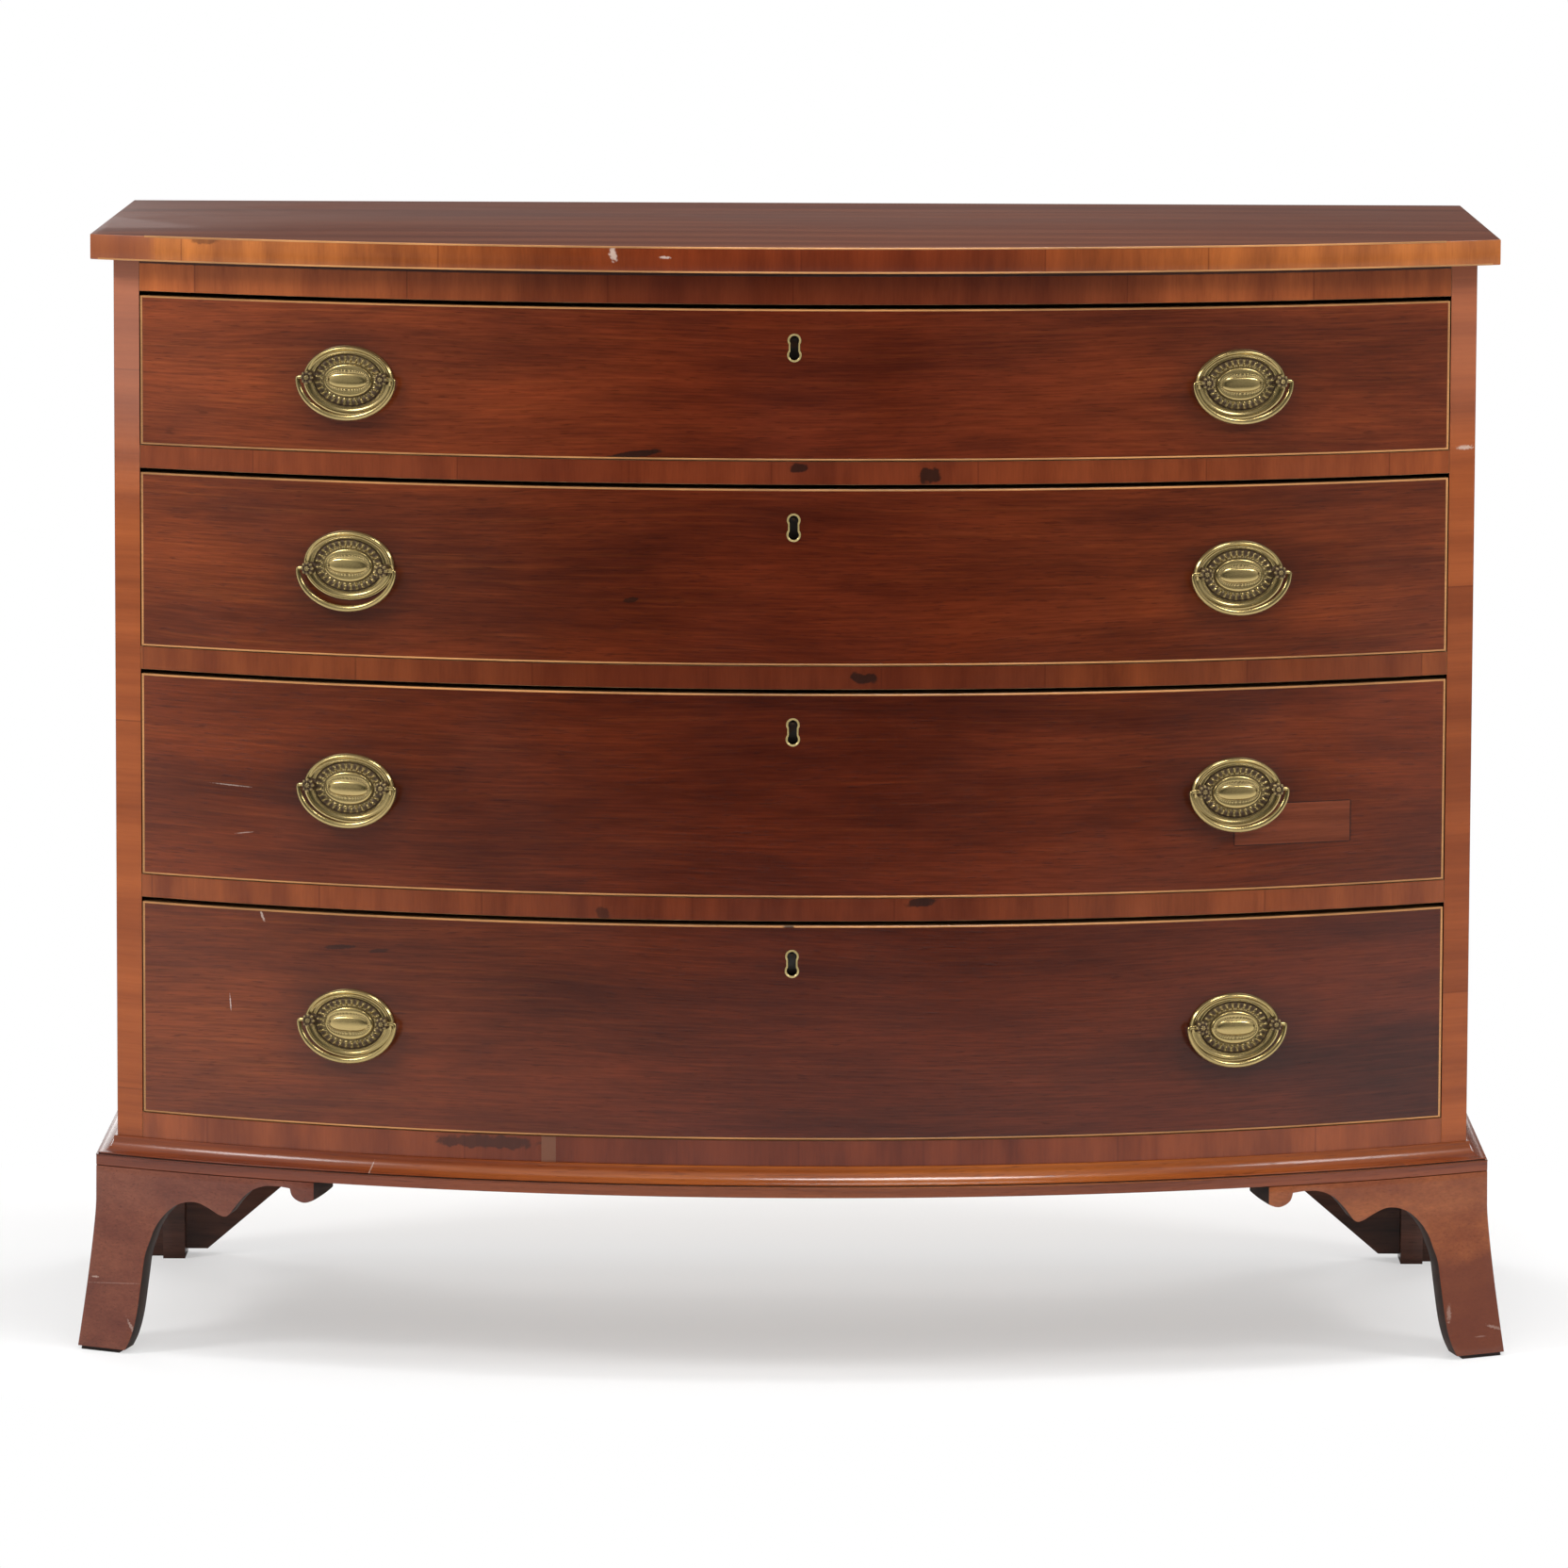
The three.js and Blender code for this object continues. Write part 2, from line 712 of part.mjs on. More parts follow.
function lockBody(topZ) {
  const slotDepth = boltHeight + runningGap * 2;
  const body = boxBetween(
    [-lockWidth / 2, innerFaceY - lockThickness, topZ - lockHeight],
    [lockWidth / 2, innerFaceY, topZ - runningGap],
  );
  const slot = boxBetween(
    [-boltWidth / 2 - runningGap, boltY - boltThickness / 2 - runningGap, topZ - runningGap - slotDepth],
    [boltWidth / 2 + runningGap, boltY + boltThickness / 2 + runningGap, topZ + cutOverrun],
  );
  const pin = new THREE.CylinderGeometry(keyPinRadius, keyPinRadius, keyPinLength * 2, socketSides);
  const pinZ = topZ - keyholeDrop + keyholeHeight / 2 - keyholeHeadRadius;
  pin.translate(0, innerFaceY - lockThickness, pinZ);
  return cut(join([body, pin]), [slot]);
}

function lockBolt(topZ) {
  return boxBetween(
    [-boltWidth / 2, boltY - boltThickness / 2, topZ - runningGap - boltHeight],
    [boltWidth / 2, boltY + boltThickness / 2, topZ - runningGap],
  );
}

function lockPocket(topZ) {
  return boxBetween(
    [-lockWidth / 2 - fitGap, innerFaceY - lockThickness - fitGap, topZ - lockHeight - fitGap],
    [lockWidth / 2 + fitGap, innerFaceY + cutOverrun, topZ + cutOverrun],
  );
}

function addDrawer(number, frontBottomZ, height) {
  const topZ = frontBottomZ + height;
  const sideBottomZ = frontBottomZ - gapUnderFront + runningGap;
  const sideTopZ = topZ - sideBelowFrontTop;
  const bottomZ = sideBottomZ + grooveLift;
  const panelTopZ = bottomZ + drawerBottomThickness;
  const rearY = backFaceY - gapBehindDrawer;
  const innerX = drawerHalf - drawerSideThickness;
  const postZ = frontBottomZ + height / 2;
  const drawer = new THREE.Group();
  chest.add(drawer);

  const frames = [-1, 1].map((side) => pullFrame(side, postZ));
  const tailOutline = sideOutline(sideBottomZ, sideTopZ, rearY, fitGap);
  const tailSpace = sideBoard(tailOutline, innerX - fitGap, drawerHalf + cutOverrun);
  const front = cut(drawerFrontBlank(frontBottomZ, topZ), [
    keyhole(topZ - keyholeDrop),
    lockPocket(topZ),
    raise(bottomOutline(fitGap), bottomZ - fitGap, panelTopZ + fitGap),
    tailSpace,
    mirrored(tailSpace),
    ...frames.flatMap((frame) => [postHole(-1, frame), postHole(1, frame)]),
  ]);
  addPiece(drawer, `drawer_${number}_front`, front, mahogany);

  const groove = boxBetween(
    [innerX - cutOverrun, tipY - cutOverrun, bottomZ - fitGap],
    [innerX + grooveDepth, rearY + cutOverrun, panelTopZ + fitGap],
  );
  const sideRight = cut(sideBoard(sideOutline(sideBottomZ, sideTopZ, rearY, 0), innerX, drawerHalf), [groove]);
  addPiece(drawer, `drawer_${number}_side_right`, sideRight, pine);
  addPiece(drawer, `drawer_${number}_side_left`, mirrored(sideRight), pine);

  const back = boxBetween(
    [-innerX, rearY - drawerBackThickness, panelTopZ],
    [innerX, rearY, sideTopZ - backBelowSideTop],
  );
  addPiece(drawer, `drawer_${number}_back`, back, pine);
  addPiece(drawer, `drawer_${number}_bottom`, raise(bottomOutline(0), bottomZ, panelTopZ), pine);

  addPiece(drawer, `lock_${number}`, lockBody(topZ), iron);
  addPiece(drawer, `lock_bolt_${number}`, lockBolt(topZ), iron);

  for (const [i, hand] of ['left', 'right'].entries()) {
    const frame = frames[i];
    drawer.add(frame);
    const lift = number === 2 && hand === 'left' ? raisedPlateLift : 0;
    addPiece(frame, `pull_plate_${number}_${hand}`, plateWithPosts(lift), brass);
    const hanging = addPiece(frame, `bail_${number}_${hand}`, bail(), brass);
    hanging.position.set(0, -bailHeight, 0);
  }
}

addPiece(chest, 'top_board', topBoard(), mahogany);
const sideRight = caseSide();
addPiece(chest, 'case_side_right', sideRight, mahogany);
addPiece(chest, 'case_side_left', mirrored(sideRight), mahogany);
addPiece(chest, 'top_rail', topRail(), crossbanding);
for (const number of [1, 2, 3]) {
  const undersideZ = frontBottoms[number - 1] - gapUnderFront - dividerThickness;
  addPiece(chest, `drawer_divider_${number}`, divider(undersideZ), crossbanding);
}
addPiece(chest, 'bottom_rail', bottomRail(), crossbanding);
addPiece(chest, 'bottom_board', bottomBoard(), pine);
const backSplitZ = (footHeight + topBoardZ) / 2;
addPiece(chest, 'back_board_lower', backBoard(footHeight, backSplitZ), pine);
addPiece(chest, 'back_board_upper', backBoard(backSplitZ, topBoardZ), pine);
addPiece(chest, 'base_moulding', baseMoulding(), crossbanding);
const frontFootRight = frontFoot();
addPiece(chest, 'front_foot_right', frontFootRight, mahogany);
addPiece(chest, 'front_foot_left', mirrored(frontFootRight), mahogany);
const rearFootRight = rearFoot();
addPiece(chest, 'rear_foot_right', rearFootRight, mahogany);
addPiece(chest, 'rear_foot_left', mirrored(rearFootRight), mahogany);
drawerHeights.forEach((height, i) => addDrawer(i + 1, frontBottoms[i], height));

export default chest;
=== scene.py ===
# Bow front chest of drawers: finishes, fine shapes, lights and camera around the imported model
# Metres, +Z up, the bowed front towards -Y
import math

import bmesh
import bpy
from mathutils import Matrix, Vector


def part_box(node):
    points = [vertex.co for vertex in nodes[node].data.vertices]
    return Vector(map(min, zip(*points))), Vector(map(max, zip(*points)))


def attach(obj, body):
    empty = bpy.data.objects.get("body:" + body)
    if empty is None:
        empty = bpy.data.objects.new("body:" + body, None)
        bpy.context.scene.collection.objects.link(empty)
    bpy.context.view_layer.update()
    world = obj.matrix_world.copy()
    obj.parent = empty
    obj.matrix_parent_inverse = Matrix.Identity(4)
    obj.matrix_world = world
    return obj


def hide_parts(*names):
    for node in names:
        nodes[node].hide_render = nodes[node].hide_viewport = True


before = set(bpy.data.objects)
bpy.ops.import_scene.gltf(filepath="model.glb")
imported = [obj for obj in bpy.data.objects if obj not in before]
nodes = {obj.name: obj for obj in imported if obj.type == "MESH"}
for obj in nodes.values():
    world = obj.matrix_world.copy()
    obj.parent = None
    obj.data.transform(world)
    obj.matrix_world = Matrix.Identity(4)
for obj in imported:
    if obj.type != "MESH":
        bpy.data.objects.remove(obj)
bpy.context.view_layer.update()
scene = bpy.context.scene
mm = 0.001
drawerNumbers = (1, 2, 3, 4)
hands = {"left": -1, "right": 1}


# Camera

camera = {
    "imageSize": 1664,
    "focalPixels": 9784,
    "sensorWidth": 36,
    "place": (0.0205, -7.214, 1.296),
    "turnLeft": 0.0039,
    "lookDown": 0.1201,
    "roll": 0.0039,
    "farthest": 60,
}


def addCamera():
    data = bpy.data.cameras.new("photoCamera")
    data.sensor_width = camera["sensorWidth"]
    data.lens = camera["sensorWidth"] * camera["focalPixels"] / camera["imageSize"]
    data.clip_end = camera["farthest"]
    obj = bpy.data.objects.new("photoCamera", data)
    scene.collection.objects.link(obj)
    turn = Matrix.Rotation(camera["turnLeft"], 4, "Z")
    tilt = Matrix.Rotation(math.radians(90) - camera["lookDown"], 4, "X")
    roll = Matrix.Rotation(camera["roll"], 4, "Z")
    obj.matrix_world = Matrix.Translation(camera["place"]) @ turn @ tilt @ roll
    scene.camera = obj


addCamera()
print("camera placed")


# Places that the fine pieces share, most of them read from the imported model

bow = 0.138  # how far the front stands out in its middle
pullInset = 0.1635  # from the end of a drawer front to the middle of its pull
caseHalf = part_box("case_side_right")[1].x
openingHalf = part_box("bottom_rail")[1].x
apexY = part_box("bottom_rail")[0].y
frontRadius = (caseHalf ** 2 + bow ** 2) / (2 * bow)
arcCentreY = apexY + frontRadius
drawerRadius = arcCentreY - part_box("drawer_1_front")[0].y
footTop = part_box("base_moulding")[0].z
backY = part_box("base_moulding")[1].y


def arcY(radius, x, centreY=None):
    centre = arcCentreY if centreY is None else centreY
    return centre - math.sqrt(radius ** 2 - x ** 2)


# Mesh tools

turnedAngle = 50  # pulls and other small round things stay smooth up to this angle


def makeObject(name, points, faces, smoothAngle=32):
    mesh = bpy.data.meshes.new(name)
    mesh.from_pydata([tuple(point) for point in points], [], faces)
    shape = bmesh.new()
    shape.from_mesh(mesh)
    bmesh.ops.recalc_face_normals(shape, faces=shape.faces)
    shape.to_mesh(mesh)
    shape.free()
    return addObject(name, mesh, smoothAngle)


def addObject(name, mesh, smoothAngle=32):
    obj = bpy.data.objects.new(name, mesh)
    scene.collection.objects.link(obj)
    softenShading(obj, smoothAngle)
    return obj


def softenShading(obj, smoothAngle=32):
    obj.data.shade_smooth()
    obj.data.set_sharp_from_angle(angle=math.radians(smoothAngle))


def ringFaces(rows, count, spans):
    faces = []
    for r in range(spans):
        here, there = r * count, (r + 1) % rows * count
        for i in range(count):
            j = (i + 1) % count
            faces.append((here + i, here + j, there + j, there + i))
    return faces


def loftRings(name, rings, closed=False, smoothAngle=32):
    count = len(rings[0])
    points = [point for ring in rings for point in ring]
    faces = ringFaces(len(rings), count, len(rings) if closed else len(rings) - 1)
    if not closed:
        last = (len(rings) - 1) * count
        faces.append(tuple(reversed(range(count))))
        faces.append(tuple(range(last, last + count)))
    return makeObject(name, points, faces, smoothAngle)


def joinMeshes(name, meshes, smoothAngle=32):
    shape = bmesh.new()
    for mesh in meshes:
        shape.from_mesh(mesh)
    joined = bpy.data.meshes.new(name)
    shape.to_mesh(joined)
    shape.free()
    return addObject(name, joined, smoothAngle)


def joinObjects(name, objects, smoothAngle=32):
    joined = joinMeshes(name, [obj.data for obj in objects], smoothAngle)
    for obj in objects:
        bpy.data.objects.remove(obj)
    return joined


def applyModifiers(obj):
    depsgraph = bpy.context.evaluated_depsgraph_get()
    mesh = bpy.data.meshes.new_from_object(obj.evaluated_get(depsgraph))
    obj.modifiers.clear()
    obj.data = mesh


def cutAway(obj, cutters, smoothAngle=32):
    for cutter in cutters:
        modifier = obj.modifiers.new("cut", "BOOLEAN")
        modifier.operation = "DIFFERENCE"
        modifier.solver = "EXACT"
        modifier.object = cutter
    applyModifiers(obj)
    for cutter in cutters:
        bpy.data.objects.remove(cutter)
    softenShading(obj, smoothAngle)


def roundEdges(obj, width, segments=2, angle=35):
    modifier = obj.modifiers.new("worn edges", "BEVEL")
    modifier.width = width
    modifier.segments = segments
    modifier.limit_method = "ANGLE"
    modifier.angle_limit = math.radians(angle)
    return modifier


def mirrorX(obj, name):
    mesh = obj.data.copy()
    mesh.transform(Matrix.Scale(-1, 4, (1, 0, 0)))
    mesh.flip_normals()
    other = bpy.data.objects.new(name, mesh)
    scene.collection.objects.link(other)
    return other


def dress(obj, body, slotName, material, *replaced):
    obj.data.materials.clear()
    obj.data.materials.append(material)
    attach(obj, body)
    if replaced:
        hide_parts(*replaced)
    return obj


# A smooth line through points, with so many steps between each two
def spline(points, perSpan):
    result = []
    for i in range(len(points) - 1):
        before = Vector(points[max(i - 1, 0)])
        start, end = Vector(points[i]), Vector(points[i + 1])
        after = Vector(points[min(i + 2, len(points) - 1)])
        for step in range(perSpan):
            t = step / perSpan
            bend = (2 * before - 5 * start + 4 * end - after) * t * t
            twist = (3 * start - before - 3 * end + after) * t ** 3
            result.append((2 * start + (end - before) * t + bend + twist) / 2)
    result.append(Vector(points[-1]))
    return result


# Sweeps a section of (radius, height) pairs along the bow from one x to another
def sweepBow(name, section, fromX, toX, columns, centreY=None):
    rings = []
    for i in range(columns + 1):
        x = fromX + (toX - fromX) * i / columns
        rings.append([(x, arcY(radius, x, centreY), z) for radius, z in section])
    return loftRings(name, rings)


def sheetSection(radius, depth, proud, fromZ, toZ, rounding=0.0002):
    outer = radius + proud
    return [
        (radius - depth, fromZ),
        (outer - rounding, fromZ),
        (outer, fromZ + rounding),
        (outer, toZ - rounding),
        (outer - rounding, toZ),
        (radius - depth, toZ),
    ]


# Stands a flat outline of (across, up) points up as a prism between two depths along Y
def prismAlongY(name, outline, fromY, toY):
    rings = [[(x, y, z) for x, z in outline] for y in (fromY, toY)]
    return loftRings(name, rings)


def prismAlongX(name, outline, fromX, toX):
    rings = [[(x, y, z) for y, z in outline] for x in (fromX, toX)]
    return loftRings(name, rings)


# Shader tools

class ShaderGraph:
    def __init__(self, tree):
        self.tree = tree

    def add(self, kind, inputs=None, **settings):
        node = self.tree.nodes.new(kind)
        for key, value in settings.items():
            setattr(node, key, value)
        for socket, value in (inputs or {}).items():
            self.feed(node.inputs[socket], value)
        return node

    def feed(self, socket, value):
        if isinstance(value, bpy.types.NodeSocket):
            self.tree.links.new(value, socket)
        else:
            socket.default_value = value

    def math(self, operation, first, second=0.0, third=0.0):
        return self.add("ShaderNodeMath", {0: first, 1: second, 2: third}, operation=operation).outputs[0]

    def vector(self, operation, first, second=(0, 0, 0)):
        return self.add("ShaderNodeVectorMath", {0: first, 1: second}, operation=operation).outputs[0]

    def noise(self, vector, scale=1.0, detail=2.0, roughness=0.5):
        inputs = {"Vector": vector, "Scale": scale, "Detail": detail, "Roughness": roughness}
        return self.add("ShaderNodeTexNoise", inputs).outputs["Fac"]

    def range(self, value, low, high, toLow=0.0, toHigh=1.0):
        inputs = {0: value, 1: low, 2: high, 3: toLow, 4: toHigh}
        return self.add("ShaderNodeMapRange", inputs, interpolation_type="SMOOTHSTEP").outputs[0]

    def mix(self, fac, first, second, blend="MIX"):
        node = self.add("ShaderNodeMix", data_type="RGBA", blend_type=blend)
        for index, value in ((0, fac), (6, first), (7, second)):
            if isinstance(value, tuple) and len(value) == 3:
                value = (*value, 1)
            self.feed(node.inputs[index], value)
        return node.outputs[2]

    def split(self, vector):
        return self.add("ShaderNodeSeparateXYZ", {0: vector}).outputs

    def combine(self, x, y, z):
        return self.add("ShaderNodeCombineXYZ", {0: x, 1: y, 2: z}).outputs[0]


def makeGroup(name, inputs, outputs):
    tree = bpy.data.node_groups.new(name, "ShaderNodeTree")
    for label, kind, default in inputs:
        socket = tree.interface.new_socket(label, in_out="INPUT", socket_type=f"NodeSocket{kind}")
        if default is not None:
            socket.default_value = default
    for label, kind in outputs:
        tree.interface.new_socket(label, in_out="OUTPUT", socket_type=f"NodeSocket{kind}")
    graph = ShaderGraph(tree)
    given = graph.add("NodeGroupInput").outputs
    result = graph.add("NodeGroupOutput").inputs
    return graph, given, result


# Layers of the grain: scale along and across the fibres, start along them, detail and roughness
grainLayers = {
    "figure": {"detail": 5.0, "roughness": 0.62},
    "streaks": {"along": 5.5, "across": 230.0, "start": 3.1, "detail": 3.0, "roughness": 0.6},
    "fibres": {"along": 22.0, "detail": 3.0, "roughness": 0.7},
    "pores": {"along": 75.0, "detail": 1.0},
    "poresToFibres": 1.7,
    "poreReach": (0.62, 0.72),
    "waves": (2.2, 7, 7),
    "seedSkew": 1.7,
}


# Wood grain along the X of the vector: broad figure, long thin streaks, fine fibres and short dark pores
def buildGrainGroup():
    graph, given, result = makeGroup(
        "grain of wood",
        [("Vector", "Vector", None), ("Along", "Float", 1.4), ("Across", "Float", 34.0),
         ("Fibre Scale", "Float", 520.0), ("Wander", "Float", 0.02), ("Seed", "Float", 0.0)],
        [("Figure", "Float"), ("Streaks", "Float"), ("Fibres", "Float"), ("Pores", "Float")],
    )
    skewed = graph.math("MULTIPLY", given["Seed"], grainLayers["seedSkew"])
    moved = graph.vector("ADD", given["Vector"], graph.combine(given["Seed"], skewed, given["Seed"]))
    wave = graph.noise(graph.vector("MULTIPLY", moved, grainLayers["waves"]), detail=1.0)
    shift = graph.math("MULTIPLY", graph.math("SUBTRACT", wave, 0.5), given["Wander"])
    x, y, z = graph.split(graph.vector("ADD", moved, graph.combine(0.0, shift, 0.0)))

    def layer(along, across, detail, roughness=0.5, start=0.0):
        place = graph.combine(
            graph.math("MULTIPLY_ADD", x, along, start),
            graph.math("MULTIPLY", y, across),
            graph.math("MULTIPLY", z, across),
        )
        return graph.noise(place, detail=detail, roughness=roughness)

    fibreScale = given["Fibre Scale"]
    poreScale = graph.math("MULTIPLY", fibreScale, grainLayers["poresToFibres"])
    pores = layer(across=poreScale, **grainLayers["pores"])
    graph.feed(result["Figure"], layer(given["Along"], given["Across"], **grainLayers["figure"]))
    graph.feed(result["Streaks"], layer(**grainLayers["streaks"]))
    graph.feed(result["Fibres"], layer(across=fibreScale, **grainLayers["fibres"]))
    graph.feed(result["Pores"], graph.range(pores, *grainLayers["poreReach"]))
    return graph.tree


# One mark on the surface, turned in the XZ plane: 1 inside, 0 outside, with a ragged edge
def buildMarkGroup():
    graph, given, result = makeGroup(
        "mark",
        [("Vector", "Vector", None), ("Centre", "Vector", None), ("Size", "Vector", (1, 1, 1)),
         ("Angle", "Float", 0.0), ("Squareness", "Float", 2.0), ("Ragged", "Float", 0.3),
         ("Ragged Scale", "Float", 300.0), ("Edge", "Float", 0.2)],
        [("Mask", "Float")],
    )
    moved = graph.vector("SUBTRACT", given["Vector"], given["Centre"])
    turned = graph.add(
        "ShaderNodeVectorRotate",
        {"Vector": moved, "Axis": (0, 1, 0), "Angle": given["Angle"]},
        rotation_type="AXIS_ANGLE",
    ).outputs[0]
    x, _, z = graph.split(graph.vector("DIVIDE", turned, given["Size"]))
    powers = [
        graph.math("POWER", graph.math("ABSOLUTE", value), given["Squareness"]) for value in (x, z)
    ]
    total = graph.math("ADD", powers[0], powers[1])
    reach = graph.math("POWER", total, graph.math("DIVIDE", 1.0, given["Squareness"]))
    flat = graph.vector("MULTIPLY", given["Vector"], (1, 0, 1))
    speckle = graph.noise(flat, given["Ragged Scale"], detail=4.0)
    rough = graph.math("MULTIPLY", graph.math("SUBTRACT", speckle, 0.5), given["Ragged"])
    distance = graph.math("ADD", reach, graph.math("MULTIPLY", rough, 2.0))
    low = graph.math("SUBTRACT", 1.0, given["Edge"])
    high = graph.math("ADD", 1.0, given["Edge"])
    graph.feed(result["Mask"], graph.range(distance, low, high, 1.0, 0.0))
    return graph.tree


blockRandomness = 0.85


# Short pieces of veneer laid side by side: a tint for each and a thin joint between them
def buildBlockGroup():
    graph, given, result = makeGroup(
        "veneer blocks",
        [("Along", "Float", 0.0), ("Blocks Per Metre", "Float", 7.0), ("Seed", "Float", 0.0),
         ("Joint Width", "Float", 0.0006)],
        [("Tint", "Float"), ("Joint", "Float")],
    )
    place = graph.math("ADD", given["Along"], given["Seed"])
    for feature, output, label in (("F1", "Color", "Tint"), ("DISTANCE_TO_EDGE", "Distance", "Joint")):
        cells = graph.add(
            "ShaderNodeTexVoronoi",
            {"W": place, "Scale": given["Blocks Per Metre"], "Randomness": blockRandomness},
            voronoi_dimensions="1D",
            feature=feature,
        ).outputs[output]
        if label == "Tint":
            graph.feed(result[label], graph.split(cells)[0])
        else:
            edge = graph.math("MULTIPLY", given["Joint Width"], given["Blocks Per Metre"])
            graph.feed(result[label], graph.math("LESS_THAN", cells, edge))
    return graph.tree


rubbedReach = (0.35, 0.7)


# Uneven polish: roughness rises where the surface is rubbed
def buildPolishGroup():
    graph, given, result = makeGroup(
        "uneven polish",
        [("Vector", "Vector", None), ("Polished", "Float", 0.28), ("Rubbed", "Float", 0.45),
         ("Scale", "Float", 6.0)],
        [("Roughness", "Float")],
    )
    rubbed = graph.range(graph.noise(given["Vector"], given["Scale"], detail=5.0), *rubbedReach)
    spread = graph.math("SUBTRACT", given["Rubbed"], given["Polished"])
    graph.feed(result["Roughness"], graph.math("MULTIPLY_ADD", rubbed, spread, given["Polished"]))
    return graph.tree


grainGroup = buildGrainGroup()
markGroup = buildMarkGroup()
blockGroup = buildBlockGroup()
polishGroup = buildPolishGroup()


def useGroup(graph, tree, inputs):
    node = graph.add("ShaderNodeGroup", node_tree=tree)
    for socket, value in inputs.items():
        graph.feed(node.inputs[socket], value)
    return node.outputs


def newMaterial(name):
    material = bpy.data.materials.new(name)
    material.use_nodes = True
    material.node_tree.nodes.clear()
    graph = ShaderGraph(material.node_tree)
    shader = graph.add("ShaderNodeBsdfPrincipled")
    output = graph.add("ShaderNodeOutputMaterial")
    graph.tree.links.new(shader.outputs[0], output.inputs["Surface"])
    return material, graph, shader.inputs


# The object's own coordinates, with the grain's direction first
def grainVector(graph, axes):
    place = graph.add("ShaderNodeTexCoord").outputs["Object"]
    parts = dict(zip("xyz", graph.split(place)))
    return place, graph.combine(*[parts[axis] if axis in parts else 0.0 for axis in axes])


woodDefaults = {
    "along": 1.4,
    "across": 34.0,
    "fibres": 520.0,
    "wander": 0.02,
    "seed": 0.0,
    "contrast": (0.36, 0.66),
    "fibreShare": 0.22,
    "poreShare": 0.35,
    "poreTone": 0.35,
    "jointShare": 0.4,
    "polished": 0.3,
    "rubbed": 0.46,
    "specular": 0.35,
    "relief": 0.12,
    "reliefDepth": 0.0003,
    "poreRelief": 0.6,
    "streakReach": (0.5, 0.72),
    "darkReach": (0.46, 0.3),
    "fadeMiddle": (-0.05, 0.05),
    "tintReach": (0.05, 0.95),
    "fibreReach": (0.25, 0.75),
    "marks": [],
}
markDefaults = {
    "angle": 0,
    "squareness": 2.0,
    "ragged": 0.3,
    "raggedScale": 300.0,
    "edge": 0.2,
    "share": 0.8,
    "dull": 0.2,
}


# Bright and dull streaks laid over the figure
def addStreaks(graph, colour, look, streaks):
    for tone in ("streak", "dark"):
        reach = graph.range(streaks, *look[f"{tone}Reach"])
        share = graph.math("MULTIPLY", reach, look["streakShare"])
        colour = graph.mix(share, colour, look[tone])
    return colour


# Painted light, partly faded polish: towards the left and right ends the colour is multiplied by a tint,
# which lifts it on the fronts and rails
def addEndLightAndFade(graph, colour, look, x):
    share = graph.range(x, *look["fadeMiddle"], *look["fadeShares"])
    away = graph.range(graph.math("ABSOLUTE", x), *look["fadeReach"])
    return graph.mix(graph.math("MULTIPLY", away, share), colour, look["fade"], "MULTIPLY")


def addBlocks(graph, colour, look, along):
    blocks = useGroup(graph, blockGroup, {
        "Along": along,
        "Blocks Per Metre": look["blocks"],
        "Seed": look["seed"],
    })
    tint = graph.range(blocks["Tint"], *look["tintReach"])
    colour = graph.mix(graph.math("MULTIPLY", tint, look["blockShare"]), colour, look["blockTint"])
    return graph.mix(graph.math("MULTIPLY", blocks["Joint"], look["jointShare"]), colour, look["dark"])


def addMarks(graph, colour, rough, look, place):
    for changes in look["marks"]:
        mark = {**markDefaults, **changes}
        mask = useGroup(graph, markGroup, {
            "Vector": place,
            "Centre": (mark["at"][0], 0, mark["at"][1]),
            "Size": (mark["size"][0] / 2, 1, mark["size"][1] / 2),
            "Angle": math.radians(mark["angle"]),
            "Squareness": mark["squareness"],
            "Ragged": mark["ragged"],
            "Ragged Scale": mark["raggedScale"],
            "Edge": mark["edge"],
        })["Mask"]
        share = graph.math("MULTIPLY", mask, mark["share"])
        colour = graph.mix(share, colour, mark["colour"])
        rough = graph.math("MULTIPLY_ADD", share, mark["dull"], rough)
    return colour, rough


